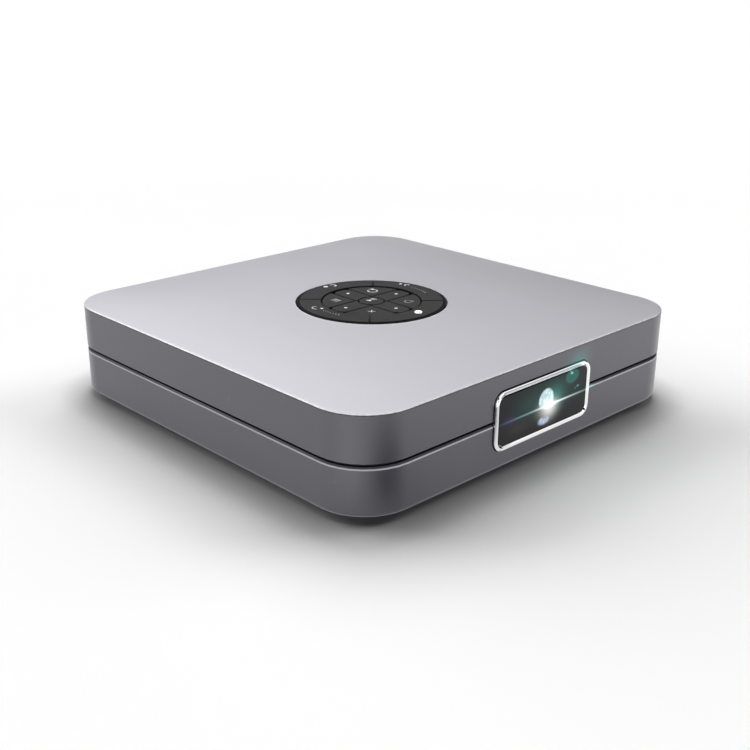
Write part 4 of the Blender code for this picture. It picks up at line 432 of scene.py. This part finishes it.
def round_walls_group():
    """Smooth outer walls: the true normal of the body's outline where the mesh has small flats.

    In plan it points away from the nearest corner's centre, or straight out along a side, and keeps the
    mesh's own rise. Where the mesh turns away from it by more than a flat would, the mesh is kept.
    """
    group, graph, given, result = new_group("round_walls", {}, {"Normal": "NodeSocketVector"})
    x, y, z = graph.split(graph.place())
    sides = []
    for value, half in ((x, BODY_HALF_WIDTH), (y, BODY_HALF_DEPTH)):
        beyond = graph.math("SUBTRACT", graph.math("ABSOLUTE", value), half - BODY_CORNER)
        sides.append(graph.math("MULTIPLY", graph.math("MAXIMUM", beyond, 0.0), graph.math("SIGN", value)))
    outward = graph.add("ShaderNodeCombineXYZ", {0: sides[0], 1: sides[1]}).outputs[0]
    outward = graph.vector("NORMALIZE", outward)
    own = graph.add("ShaderNodeNewGeometry").outputs["Normal"]
    rise = graph.split(own)[2]
    rest = graph.math("SUBTRACT", 1.0, graph.math("MULTIPLY", rise, rise))
    level = graph.math("SQRT", graph.math("MAXIMUM", rest, 0.0))
    upright = graph.add("ShaderNodeCombineXYZ", {2: rise}).outputs[0]
    true = graph.vector("ADD", graph.scaled(outward, level), upright)
    agree = graph.ramp(graph.vector("DOT_PRODUCT", own, true), 0.95, 0.97)
    blend = graph.add("ShaderNodeMix", data_type="VECTOR")
    graph.feed(blend.inputs["Factor"], agree)
    graph.feed(blend.inputs[4], own)
    graph.feed(blend.inputs[5], true)
    graph.feed(result["Normal"], graph.vector("NORMALIZE", blend.outputs[1]))
    return group


GRAIN = grain_group()
HANDLING = handling_group()
EDGES = edge_group()
BRUSHED = brushed_group()
FLARE = flare_group()
SPILL = spill_group()
FRAME_PROFILE = frame_profile_group()
ROUND_WALLS = round_walls_group()


# ---------------------------------------------------------------- finishes


def new_material(name, colour, roughness, metallic=0.0):
    """A material with plain starting values: its graph and its Principled node."""
    material = bpy.data.materials.new(name)
    material.use_nodes = True
    graph = Graph(material.node_tree)
    shader = material.node_tree.nodes["Principled BSDF"]
    shader.inputs["Base Color"].default_value = rgba(colour)
    shader.inputs["Roughness"].default_value = roughness
    shader.inputs["Metallic"].default_value = metallic
    return material, graph, shader


def effect(graph, group, **values):
    """An effect group placed in a material with its own values."""
    node = graph.add("ShaderNodeGroup", node_tree=group)
    for name, value in values.items():
        graph.feed(node.inputs[name.capitalize()], value)
    return node.outputs


def parting_shade_and_highlight(graph, base):
    """Painted light round the body under the casings' gap: a band of painted shade, then a painted highlight
    on the lip of the lower casing.

    Both are bands of height, drawn only on the outer walls, where x or y is near the body's sides.
    """
    x, y, z = graph.split(graph.place())
    beside = graph.math("MAXIMUM", graph.math("ABSOLUTE", x), graph.math("ABSOLUTE", y))
    outside = graph.ramp(beside, 0.06, 0.066)
    away = graph.math("ABSOLUTE", graph.math("SUBTRACT", z, PARTING_LIP_Z))
    # The painted highlight: a light band centred on the lower casing's lip
    lip = graph.ramp(away, 0.05 * MM, 0.32 * MM, 0.6, 0.0)
    base = graph.mix(graph.math("MULTIPLY", lip, outside), base, srgb(196, 196, 200))
    # The painted shade: a dark band between the lip and the casings' gap
    above = graph.ramp(z, PARTING_LIP_Z + 0.15 * MM, PARTING_LIP_Z + 0.4 * MM)
    below = graph.ramp(z, PARTING_GAP_Z, PARTING_GAP_Z + 0.15 * MM, 0.75, 0.0)
    gap_shade = graph.math("MULTIPLY", above, below)
    return graph.mix(graph.math("MULTIPLY", gap_shade, outside), base, srgb(38, 38, 40))


def worked_finish(
    name,
    colour,
    roughness,
    metallic=0.0,
    grain=4000.0,
    contrast=0.1,
    depth=0.000004,
    edge=None,
    wear=0.4,
    edge_width=0.0003,
    smudge=0.06,
    scratches=0.3,
    brushed=None,
    specular=0.5,
    coat=0.0,
    spill=False,
    profile=0.0,
    outer_wall=False,
):
    """A finish with grain, smudges, scratches, and edges drawn towards another colour: wear, and on the satin
    silver and gunmetal paints a painted highlight.

    Spill adds the light that falls from the lens, profile slopes the window frame's face by so many
    metres, and an outer wall gets the body's smooth outline and the painted shade and painted highlight of
    its parting line.
    """
    material, graph, shader = new_material(name, colour, roughness, metallic)
    fine = effect(graph, GRAIN, scale=grain, contrast=contrast)
    marks = effect(graph, HANDLING, scale=45.0, scratches=scratches)
    shade = graph.mix(1.0, colour, fine["Shade"], "MULTIPLY")
    base = graph.mix(graph.math("MULTIPLY", marks["Scratch"], 0.35), shade, edge or colour)
    if edge is not None:
        # Edges drawn towards the edge colour: wear, and on the satin silver and gunmetal paints a painted
        # highlight
        worn_and_highlit = effect(graph, EDGES, width=edge_width, wear=wear)
        base = graph.mix(worn_and_highlit["Edge"], base, edge)
    if outer_wall:
        # Painted shade in the casings' gap and a painted highlight on the lower casing's lip
        base = parting_shade_and_highlight(graph, base)
    graph.feed(shader.inputs["Base Color"], base)
    rough = graph.math("ADD", roughness, graph.math("MULTIPLY", marks["Smudge"], smudge))
    height = fine["Height"]
    if brushed is not None:
        lines = effect(graph, BRUSHED, across=brushed, along=80.0)["Line"]
        height = graph.math("ADD", graph.math("MULTIPLY", height, 0.4), lines)
        rough = graph.math("ADD", rough, graph.math("MULTIPLY", lines, 0.12))
    rough = graph.math("SUBTRACT", rough, graph.math("MULTIPLY", marks["Scratch"], 0.1))
    graph.feed(shader.inputs["Roughness"], rough)
    shaped = effect(graph, ROUND_WALLS)["Normal"] if outer_wall else None
    if profile:
        shaped = graph.bump(effect(graph, FRAME_PROFILE)["Height"], profile)
    graph.feed(shader.inputs["Normal"], graph.bump(height, depth, normal=shaped))
    if spill:
        graph.feed(shader.inputs["Emission Color"], effect(graph, SPILL)["Light"])
        shader.inputs["Emission Strength"].default_value = 1.0
    shader.inputs["Specular IOR Level"].default_value = specular
    shader.inputs["Coat Weight"].default_value = coat
    shader.inputs["Coat Roughness"].default_value = 0.12
    return material


def window_finish():
    """Dark tinted glass with the flare of the lit lens in it."""
    material, graph, shader = new_material("lit_dark_glass", (0.009, 0.0085, 0.0095), 0.05)
    marks = effect(graph, HANDLING, scale=120.0, scratches=0.4)
    graph.feed(shader.inputs["Roughness"], graph.ramp(marks["Smudge"], 0.0, 1.0, 0.03, 0.09))
    light = effect(graph, FLARE)["Light"]
    graph.feed(shader.inputs["Emission Color"], light)
    shader.inputs["Emission Strength"].default_value = 1.0
    shader.inputs["Specular IOR Level"].default_value = 0.2
    graph.feed(shader.inputs["Normal"], graph.bump(marks["Scratch"], 0.000002))
    return material


def lamp_finish(name, colour, strength):
    """A lit part: its light is mottled a little by the grain."""
    material, graph, shader = new_material(name, colour, 0.3)
    fine = effect(graph, GRAIN, scale=1500.0, contrast=0.25)
    lit = graph.mix(1.0, colour, fine["Shade"], "MULTIPLY")
    graph.feed(shader.inputs["Base Color"], lit)
    graph.feed(shader.inputs["Emission Color"], lit)
    shader.inputs["Emission Strength"].default_value = strength
    graph.feed(shader.inputs["Roughness"], graph.ramp(fine["Height"], 0.3, 0.7, 0.22, 0.4))
    return material


def clear_glass_finish():
    """Coated lens glass: clear, smooth, faintly blue, with a few soft smudges."""
    material, graph, shader = new_material("coated_lens_glass", (0.93, 0.96, 1.0), 0.02)
    marks = effect(graph, HANDLING, scale=220.0, scratches=0.2)
    graph.feed(shader.inputs["Roughness"], graph.ramp(marks["Smudge"], 0.0, 1.0, 0.01, 0.06))
    tint = graph.mix(marks["Smudge"], (0.9, 0.95, 1.0), (0.8, 0.88, 1.0))
    graph.feed(shader.inputs["Base Color"], tint)
    shader.inputs["Transmission Weight"].default_value = 1.0
    shader.inputs["IOR"].default_value = 1.6
    shader.inputs["Coat Weight"].default_value = 0.3
    return material


def board_finish():
    """Circuit board: green lacquer over copper tracks, with tinned pads and small dark parts."""
    material, graph, shader = new_material("circuit_board_lacquer", (0.01, 0.09, 0.03), 0.3)
    place = graph.place()
    tracks = graph.add(
        "ShaderNodeTexBrick",
        {"Vector": place, "Scale": 320.0, "Mortar Size": 0.06, "Brick Width": 0.9, "Row Height": 0.33},
    )
    track = tracks.outputs["Fac"]
    pads = graph.add("ShaderNodeTexVoronoi", {"Vector": place, "Scale": 420.0})
    pads.inputs["Randomness"].default_value = 0.35
    pad = graph.ramp(pads.outputs["Distance"], 0.2, 0.17, 0.0, 1.0)
    area = graph.ramp(graph.noise(place, 90.0, 1.0), 0.52, 0.56)
    pad = graph.math("MULTIPLY", pad, area)
    lacquer = graph.mix(track, (0.02, 0.16, 0.05), (0.006, 0.07, 0.022))
    graph.feed(shader.inputs["Base Color"], graph.mix(pad, lacquer, (0.75, 0.73, 0.68)))
    graph.feed(shader.inputs["Metallic"], pad)
    graph.feed(shader.inputs["Roughness"], graph.ramp(pad, 0.0, 1.0, 0.32, 0.22))
    height = graph.math("ADD", graph.math("MULTIPLY", track, -0.4), pad)
    graph.feed(shader.inputs["Normal"], graph.bump(height, 0.00002))
    return material


def make_finishes():
    """Every finish of the record's slots, by the slot's name."""
    return {
        # The satin silver's near-white edge colour is a painted highlight on the cover's rounded edges
        "silver_plate": worked_finish(
            "satin_silver_paint", srgb(206, 205, 211), 0.36, 0.75, grain=9000.0, contrast=0.07,
            depth=0.0000015, edge=(0.95, 0.95, 0.96), wear=0.9, edge_width=0.0006,
            smudge=0.02, scratches=0.1, coat=0.15,
        ),
        # The gunmetal's light edge colour is partly wear and partly a painted highlight on its rounded edges
        "casing": worked_finish(
            "satin_gunmetal_paint", srgb(106, 105, 110), 0.29, 0.75, grain=7000.0, contrast=0.16,
            depth=0.000004, edge=srgb(170, 170, 175), wear=0.35, edge_width=0.0004,
            smudge=0.06, scratches=0.2, spill=True, outer_wall=True,
        ),
        "chrome_frame": worked_finish(
            "polished_chrome", (0.95, 0.95, 0.96), 0.06, 1.0, grain=2500.0, contrast=0.03,
            depth=0.0000005, smudge=0.06, scratches=0.25, spill=True, profile=0.00052,
        ),
        "window": window_finish(),
        "lens_glass": clear_glass_finish(),
        "key_plastic": worked_finish(
            "charcoal_key_plastic", srgb(40, 40, 41), 0.42, specular=0.09, grain=5200.0, contrast=0.3,
            depth=0.00001, edge=srgb(110, 110, 112), wear=0.35, edge_width=0.0002,
            smudge=0.12, scratches=0.3,
        ),
        "keypad_dish": worked_finish(
            "black_dish_plastic", srgb(16, 16, 17), 0.6, specular=0.1, grain=5200.0, contrast=0.3,
            depth=0.00001, smudge=0.1, scratches=0.2,
        ),
        "indicator": lamp_finish("lit_indicator", (1.0, 1.0, 1.0), 1.4),
        "rubber": worked_finish(
            "matt_black_rubber", srgb(38, 38, 39), 0.8, grain=3000.0, contrast=0.5,
            depth=0.00002, edge=srgb(85, 85, 86), wear=0.5, smudge=0.1, scratches=0.2,
        ),
        "circuit_board": board_finish(),
        "dark_metal": worked_finish(
            "black_anodised_metal", srgb(44, 44, 47), 0.38, 0.8, grain=6000.0, contrast=0.3,
            depth=0.000005, edge=(0.5, 0.5, 0.52), wear=0.6,
        ),
        "cast_metal": worked_finish(
            "cast_magnesium", srgb(128, 126, 122), 0.55, 0.9, grain=2200.0, contrast=0.5,
            depth=0.00003, edge=(0.75, 0.74, 0.72), wear=0.5,
        ),
        "steel": worked_finish(
            "bright_steel", (0.62, 0.62, 0.64), 0.24, 1.0, grain=3000.0, contrast=0.15,
            depth=0.000004, edge=(0.85, 0.85, 0.86), brushed=9000.0,
        ),
        "aluminium": worked_finish(
            "mill_aluminium", (0.78, 0.79, 0.8), 0.3, 1.0, grain=3000.0, contrast=0.12,
            depth=0.000006, edge=(0.92, 0.92, 0.93), brushed=5000.0,
        ),
        "copper": worked_finish(
            "dull_copper", (0.78, 0.36, 0.2), 0.34, 1.0, grain=900.0, contrast=0.5,
            depth=0.000005, edge=(0.95, 0.6, 0.42), brushed=4000.0,
        ),
        "brass": worked_finish(
            "turned_brass", (0.78, 0.57, 0.26), 0.28, 1.0, grain=1500.0, contrast=0.3,
            depth=0.000005, edge=(0.95, 0.8, 0.5), brushed=7000.0,
        ),
        "black_plastic": worked_finish(
            "moulded_black_plastic", srgb(40, 40, 42), 0.45, grain=4200.0, contrast=0.4,
            depth=0.00001, edge=srgb(90, 90, 94), wear=0.4,
        ),
        "battery_sleeve": worked_finish(
            "shrunk_battery_film", srgb(30, 62, 120), 0.25, grain=500.0, contrast=0.5,
            depth=0.00004, edge=srgb(90, 120, 170), wear=0.5, coat=0.4,
        ),
        "chip_ceramic": worked_finish(
            "chip_ceramic", srgb(160, 150, 138), 0.4, grain=3500.0, contrast=0.3,
            depth=0.000006, edge=srgb(215, 208, 196), wear=0.4,
        ),
        "red_lamp": lamp_finish("lit_red_lamp", (1.0, 0.08, 0.05), 1.0),
        "green_lamp": lamp_finish("lit_green_lamp", (0.08, 1.0, 0.2), 1.0),
        "blue_lamp": lamp_finish("lit_blue_lamp", (0.06, 0.2, 1.0), 1.0),
    }


def dress_nodes(finishes):
    """Gives every CAD node's slots their finish; the dish round the keys is blacker than the keys."""
    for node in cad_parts.values():
        for slot in node.material_slots:
            slot.material = finishes[slot.material.name.split(".")[0]]
    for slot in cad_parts["keypad_frame"].material_slots:
        slot.material = finishes["keypad_dish"]


# ---------------------------------------------------------------- added pieces


def grid_faces(points, wrap_u=False, wrap_v=False, flip=False):
    """Points and four-sided faces of a grid, points[u, v] = (x, y, z); wrapped directions join up."""
    rows, columns = points.shape[:2]
    index = np.arange(rows * columns).reshape(rows, columns)
    if wrap_u:
        index = np.concatenate([index, index[:1]], axis=0)
    if wrap_v:
        index = np.concatenate([index, index[:, :1]], axis=1)
    corners = [index[:-1, :-1], index[1:, :-1], index[1:, 1:], index[:-1, 1:]]
    quads = np.stack(corners, axis=-1).reshape(-1, 4)
    return points.reshape(-1, 3), quads[:, ::-1] if flip else quads


def joined_piece(name, parts):
    """One smooth-shaded object from several grids, with points that fall together merged."""
    points = np.concatenate([part[0] for part in parts])
    starts = np.cumsum([0] + [len(part[0]) for part in parts[:-1]])
    faces = np.concatenate([part[1] + start for part, start in zip(parts, starts)])
    mesh = bpy.data.meshes.new(name)
    mesh.from_pydata(points.tolist(), [], faces.tolist())
    shape = bmesh.new()
    shape.from_mesh(mesh)
    bmesh.ops.remove_doubles(shape, verts=shape.verts, dist=0.0000005)
    shape.to_mesh(mesh)
    shape.free()
    mesh.shade_smooth()
    piece = bpy.data.objects.new(name, mesh)
    bpy.context.scene.collection.objects.link(piece)
    return piece


def surface(name, points, wrap_u=False, wrap_v=False, flip=False):
    """One grid as an object."""
    return joined_piece(name, [grid_faces(points, wrap_u, wrap_v, flip)])


def finish_piece(piece, material, body):
    """Gives an added piece its material and its body."""
    piece.data.materials.append(material)
    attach(piece, body)
    return piece


def body_loop(inset, steps=24):
    """The body's plan outline, moved inwards: four quarter arcs joined by straight sides."""
    radius = BODY_CORNER - inset
    turns = np.linspace(0, math.pi / 2, steps)
    corners = []
    for quarter, (across, along) in enumerate(((1, 1), (-1, 1), (-1, -1), (1, -1))):
        centre = np.array([across * (BODY_HALF_WIDTH - BODY_CORNER), along * (BODY_HALF_DEPTH - BODY_CORNER)])
        angles = turns + quarter * math.pi / 2
        corners.append(centre + radius * np.stack([np.cos(angles), np.sin(angles)], axis=1))
    return np.concatenate(corners)


def swept_band(name, profile):
    """A closed profile of (inset, height) pairs carried round the body's outline."""
    rings = []
    for inset, height in profile:
        loop = body_loop(inset)
        rings.append(np.column_stack([loop, np.full(len(loop), height)]))
    return surface(name, np.stack(rings), wrap_u=True, wrap_v=True, flip=True)


def ink_line(path, width, top, closed=False):
    """A raised line: a low half-round section carried along a flat path given in millimetres.

    Across the line, the point at turn t is at minus cos t times half the width, and as high as sin t
    times the rise. The section shrinks to nothing at both ends of an open line.
    """
    path = np.asarray(path, float) * MM
    if closed:
        ahead = np.roll(path, -1, axis=0) - np.roll(path, 1, axis=0)
        shares = np.ones(len(path))
    else:
        path = np.concatenate([path[:1], path, path[-1:]])
        ahead = np.gradient(path, axis=0)
        ahead[0], ahead[1] = ahead[2], ahead[2]
        ahead[-1], ahead[-2] = ahead[-3], ahead[-3]
        shares = np.ones(len(path))
        shares[[0, -1]] = 0.0
    ahead /= np.linalg.norm(ahead, axis=1, keepdims=True)
    aside = np.stack([-ahead[:, 1], ahead[:, 0]], axis=1)
    turns = np.linspace(0, math.pi, 7)
    across = np.concatenate([-np.cos(turns), [0.0]]) * width * MM / 2
    height = np.concatenate([np.sin(turns) * (INK_RISE + INK_SINK), [0.0]]) + top - INK_SINK
    flat = path[:, None, :] + aside[:, None, :] * (across[None, :] * shares[:, None])[:, :, None]
    tall = np.where(shares[:, None] > 0, height[None, :], top - INK_SINK)
    return grid_faces(np.concatenate([flat, tall[:, :, None]], axis=2), closed, True)


def ink_patch(outline, top):
    """A raised patch: its outline in millimetres, shrunk ring by ring to its middle, above and below."""
    outline = np.asarray(outline, float) * MM
    middle = outline.mean(axis=0)
    under = ((0.0, -INK_SINK), (1.0, -INK_SINK))
    over = ((0.97, INK_RISE * 0.7), (0.8, INK_RISE), (0.0, INK_RISE))
    rings = []
    for share, height in under + over:
        flat = middle + (outline - middle) * share
        rings.append(np.column_stack([flat, np.full(len(flat), top + height)]))
    return grid_faces(np.stack(rings), False, True)


def arc(centre, radius, start, end, steps=24):
    """Points of an arc, its turns in degrees."""
    turns = np.radians(np.linspace(start, end, steps))
    return np.array(centre) + radius * np.stack([np.cos(turns), np.sin(turns)], axis=1)


def ink_dot(centre, radius, top):
    """A round raised patch."""
    return ink_patch(arc(centre, radius, 0, 345, 24), top)


def level_dots(middle, start, end, top):
    """A row of small dots on an arc round the keypad's middle, growing along the row."""
    parts = []
    for index, turn in enumerate(np.radians(np.linspace(start, end, 7))):
        place = middle * np.array([math.cos(turn), math.sin(turn)])
        parts.append(ink_dot(place, 0.14 + 0.012 * index, top))
    return parts


def make_key_marks(white, grey):
    """Raised printed signs on the keys, each riding on its own key."""
    low, high = INNER_KEY_TOP, KEY_TOP
    marks = {}
    for side, centre in (("right", (12, 0)), ("back", (0, 12)), ("left", (-12, 0)), ("front", (0, -12))):
        marks["arm_key_" + side] = ("dot", white, [ink_dot(centre, 0.6, low)])
    rows = [[(-10.0, 8.7 + step), (-7.4, 8.7 + step)] for step in (-1.2, -0.4, 0.4, 1.2)]
    marks["corner_key_back_left"] = ("menu", grey, [ink_line(row, 0.5, low) for row in rows])
    turned = ink_line(arc((8.6, 8.5), 1.7, -250, 50), 0.45, low)
    head = ink_patch([(9.2, 10.9), (10.7, 10.1), (9.5, 9.0)], low)
    marks["corner_key_back_right"] = ("turn", white, [turned, head])
    cross = [[(-9.3, -9.8), (-7.5, -8.0)], [(-9.3, -8.0), (-7.5, -9.8)]]
    marks["corner_key_front_left"] = ("cross", white, [ink_line(line, 0.34, low) for line in cross])
    house = [(7.4, -10.4), (7.4, -8.9), (8.8, -7.6), (10.2, -8.9), (10.2, -10.4)]
    house = np.concatenate([np.linspace(a, b, 5)[:-1] for a, b in zip(house, house[1:] + house[:1])])
    marks["corner_key_front_right"] = ("house", grey, [ink_line(house, 0.3, low, closed=True)])
    play = ink_patch([(-0.9, -0.3), (0.8, 0.75), (-0.9, 1.8)], low)
    bars = [ink_line([(x, -0.2), (x, 1.7)], 0.4, low) for x in (1.5, 2.35)]
    marks["centre_key"] = ("play", white, [play] + bars)
    moon = ink_line(arc((2.0, 22.3), 1.2, -110, 110), 0.5, high)
    marks["ring_key_back"] = ("sun_moon", white, [ink_dot((-0.9, 22.9), 0.9, high), moon])
    horn = ink_line(arc((-19.9, 5.9), 1.5, 50, 230), 0.42, high)
    marks["ring_key_left"] = (
        "louder", white, [horn, ink_dot((-19.1, 4.1), 0.5, high)] + level_dots(20.2, 174, 194, high)
    )
    pair = [ink_dot((21.4, 7.2), 0.55, high), ink_line(arc((22.0, 4.6), 0.8, -60, 200), 0.42, high)]
    marks["ring_key_right"] = ("near_far", white, pair + level_dots(21.2, 3, -17, high))
    for body, (title, material, parts) in marks.items():
        finish_piece(joined_piece(body + "_" + title, parts), material, body)


def make_gap_strips(material):
    """Two low ribs of the dish in the splits between the ring keys, along the near and far diagonals."""
    bottom, top = KEY_TOP - 1.2 * MM, KEY_TOP - 0.03 * MM
    half_width = 0.16 * MM
    edge = top - 0.05 * MM
    for title, turn in (("near", 225), ("far", 45)):
        ahead = np.array([math.cos(math.radians(turn)), math.sin(math.radians(turn))])
        aside = np.array([-ahead[1], ahead[0]]) * half_width
        inner, outer = 0.0176 * ahead, 0.0247 * ahead
        section = [(-1, bottom), (-1, edge), (-0.6, top), (0.6, top), (1, edge), (1, bottom)]
        closed_end = [(0.0, (bottom + top) / 2)] * len(section)
        rings = [closed_end, section, section, closed_end]
        places = [inner, inner, outer, outer]
        points = [
            [(*(place + aside * side), height) for side, height in ring] for place, ring in zip(places, rings)
        ]
        rib = surface("key_split_rib_" + title, np.array(points), wrap_v=True, flip=True)
        finish_piece(rib, material, "housing")


def make_cover_lip(material):
    """A thin bright lip round the keypad's hole: an outer slope, a crest and a drop into the hole."""
    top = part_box("top_cover")[1][2]
    turns = np.linspace(0, 2 * math.pi, 193)[:-1]
    rings = []
    for out, height in LIP_SECTION:
        radius = KEYPAD_HOLE_RADIUS + out
        level = np.full(len(turns), top + height)
        rings.append(np.stack([radius * np.cos(turns), radius * np.sin(turns), level], axis=1))
    lip = surface("cover_hole_lip", np.stack(rings), wrap_u=True, wrap_v=True)
    finish_piece(lip, material, "housing")


# ---------------------------------------------------------------- studio


def make_floor():
    """A wide pale floor: a square sheet just under the feet, and unseen from below.

    The camera and mirrored rays see pale paper with the object's shadow, and a painted contact shade that
    darkens it where the feet and the body crowd it; this fades to plain white far out. Mirrored rays also
    see a dark and a pale card by the near corner, and a floor that is brighter to the right and far away.
    All other light meets plain grey, so that the floor throws little light back.
    """
    reach = 6.0
    steps = np.linspace(-reach, reach, 9)
    x, y = np.meshgrid(steps, steps, indexing="ij")
    floor = surface("floor", np.stack([x, y, np.zeros_like(x)], axis=-1))
    material = bpy.data.materials.new("pale_floor")
    material.use_nodes = True
    graph = Graph(material.node_tree)
    graph.tree.nodes.clear()
    path = graph.add("ShaderNodeLightPath")
    place = graph.place()
    away = graph.vector("LENGTH", place)
    cloud = graph.ramp(graph.noise(place, 5.0, 3.0), 0.3, 0.7, 0.985, 1.0)
    # Painted contact shade: the floor's colour darkened by ambient occlusion near the feet and the body
    crowded = graph.add("ShaderNodeAmbientOcclusion", {"Distance": 0.018}, samples=16).outputs["AO"]
    painted_contact_shade = graph.ramp(crowded, 0.48, 0.95, 0.36, 1.0, smooth=False)
    paper = graph.scaled((1.0, 1.0, 1.0), graph.math("MULTIPLY", cloud, painted_contact_shade))
    matt = graph.add("ShaderNodeBsdfDiffuse", {"Color": (0.55, 0.55, 0.55, 1.0)})
    seen = graph.add("ShaderNodeBsdfDiffuse", {"Color": paper})
    glow = graph.add("ShaderNodeEmission", {"Color": (1.0, 1.0, 1.0, 1.0), "Strength": 1.0})
    mirrored = graph.math("MULTIPLY", path.outputs["Is Glossy Ray"], 0.75)
    share = graph.math("MAXIMUM", graph.ramp(away, 0.26, 0.55), mirrored)
    cards = [
        graph.math("MULTIPLY", graph.spot(place, middle, reach), strength)
        for middle, reach, strength in FLOOR_CARDS
    ]
    sideways = graph.vector("DOT_PRODUCT", place, RIGHT_WARDS)
    far_side = graph.ramp(sideways, 0.06, 0.16, 0.0, 0.24)
    far_floor = graph.ramp(away, 0.17, 0.45, -0.03, 1.1)
    change = graph.total_values([*cards, far_side, far_floor])
    change = graph.math("MULTIPLY", change, path.outputs["Is Glossy Ray"])
    graph.feed(glow.inputs["Strength"], graph.math("MAXIMUM", graph.math("ADD", change, 1.0), 0.0))
    faded = graph.either(share, seen.outputs[0], glow.outputs[0])
    shown = graph.math("MAXIMUM", path.outputs["Is Camera Ray"], path.outputs["Is Glossy Ray"])
    shown = graph.math("MAXIMUM", shown, path.outputs["Is Transmission Ray"])
    above = graph.either(shown, matt.outputs[0], faded)
    unseen = graph.add("ShaderNodeBsdfTransparent").outputs[0]
    from_below = graph.add("ShaderNodeNewGeometry").outputs["Backfacing"]
    graph.add("ShaderNodeOutputMaterial", {"Surface": graph.either(from_below, above, unseen)})
    floor.data.materials.append(material)


def make_world():
    """Soft even light, a white background for the camera, and for gloss a studio of its own.

    Beyond the object the studio grows from dark at the horizon to bright higher up, and is brighter on
    the left. On the near side it is bright below and grey above, with a dark flag at the left.
    Overhead it is plain.
    """
    world = bpy.data.worlds.new("studio")
    bpy.context.scene.world = world
    world.use_nodes = True
    graph = Graph(world.node_tree)
    graph.tree.nodes.clear()
    path = graph.add("ShaderNodeLightPath")
    heading = graph.add("ShaderNodeTexCoord").outputs["Generated"]
    x, y, z = graph.split(heading)
    rise = graph.ramp(z, *FAR_RISES, *FAR_LEVELS, smooth=False)
    overhead = graph.ramp(z, 0.5, 0.62)
    sideways = graph.vector("DOT_PRODUCT", heading, RIGHT_WARDS)
    lean = graph.ramp(sideways, *LEAN_REACH, *LEAN_SHARES)
    tint = graph.mix(graph.ramp(z, 0.15, 0.5), (0.97, 0.955, 1.06), (1.0, 1.0, 1.0))
    behind = graph.math("MULTIPLY", rise, lean)
    forward = graph.vector("DOT_PRODUCT", heading, FAR_WARDS)
    grey = graph.math("MULTIPLY", graph.ramp(z, 0.36, 0.46), -1.02)
    left_flag = graph.spot(heading, (-0.2, -0.83, 0.5), (0.2, 0.2, 0.2))
    left_flag = graph.math("MULTIPLY", left_flag, -0.6)
    before = graph.total_values([grey, left_flag, NEAR_LEVEL])
    near_side = graph.ramp(forward, 0.25, -0.05)
    level = graph.add("ShaderNodeMix", {"Factor": near_side, "A": behind, "B": before}).outputs["Result"]
    level = graph.add("ShaderNodeMix", {"Factor": overhead, "A": level, "B": OVERHEAD_LEVEL})
    level = level.outputs["Result"]
    gloss = graph.add("ShaderNodeBackground", {"Strength": level})
    soft = graph.add("ShaderNodeBackground", {"Strength": SOFT_LIGHT})
    white = graph.add("ShaderNodeBackground", {"Strength": 1.0})
    for background in (soft, white):
        background.inputs["Color"].default_value = (1.0, 1.0, 1.0, 1.0)
    graph.feed(gloss.inputs["Color"], tint)
    lit = graph.either(path.outputs["Is Glossy Ray"], soft.outputs[0], gloss.outputs[0])
    direct = graph.math("MAXIMUM", path.outputs["Is Camera Ray"], path.outputs["Is Transmission Ray"])
    graph.add("ShaderNodeOutputWorld", {"Surface": graph.either(direct, lit, white.outputs[0])})


def make_lamps():
    """Wide soft lamps behind the object, so that its shadow falls to the front."""
    for name, (turn, height, width, strength) in LAMPS.items():
        light = bpy.data.lights.new(name, "SUN")
        light.energy = strength
        light.angle = math.radians(width)
        lamp = bpy.data.objects.new(name, light)
        turn, height = math.radians(turn), math.radians(height)
        level = Vector((math.sin(turn), math.cos(turn), 0)) * math.cos(height)
        towards = level + Vector((0, 0, math.sin(height)))
        lamp.matrix_world = towards.to_track_quat("Z", "Y").to_matrix().to_4x4()
        lamp.visible_glossy = False
        bpy.context.scene.collection.objects.link(lamp)


def make_camera():
    """A camera at the photograph's place, turn and angle of view."""
    heading = math.radians(CAMERA_HEADING)
    drop = math.radians(CAMERA_DROP)
    roll = math.radians(CAMERA_ROLL)
    level = Vector((math.sin(heading), math.cos(heading), 0)) * math.cos(drop)
    forward = level - Vector((0, 0, math.sin(drop)))
    across = Vector((math.cos(heading), -math.sin(heading), 0))
    rise = across.cross(forward)
    right = math.cos(roll) * across + math.sin(roll) * rise
    top = -math.sin(roll) * across + math.cos(roll) * rise
    lens = bpy.data.cameras.new("camera")
    lens.sensor_width = 36
    lens.lens = FOCAL_LENGTH
    lens.clip_start = 0.01
    camera = bpy.data.objects.new("camera", lens)
    turn = Matrix((right, top, -forward)).transposed().to_4x4()
    camera.matrix_world = Matrix.Translation(Vector(CAMERA_PLACE)) @ turn
    bpy.context.scene.collection.objects.link(camera)
    bpy.context.scene.camera = camera


finishes = make_finishes()
dress_nodes(finishes)

gasket = swept_band("cover_gasket", GASKET_SECTION)
finish_piece(gasket, finishes["casing"], "housing")

ink_white = worked_finish("white_ink", (0.86, 0.86, 0.87), 0.5, grain=9000.0, contrast=0.2, depth=0.000001)
ink_grey = worked_finish("grey_ink", (0.42, 0.42, 0.43), 0.5, grain=9000.0, contrast=0.2, depth=0.000001)
make_key_marks(ink_white, ink_grey)
make_gap_strips(finishes["key_plastic"])
make_cover_lip(finishes["silver_plate"])

make_floor()
make_world()
make_lamps()
make_camera()
bpy.context.scene.view_settings.view_transform = "Standard"
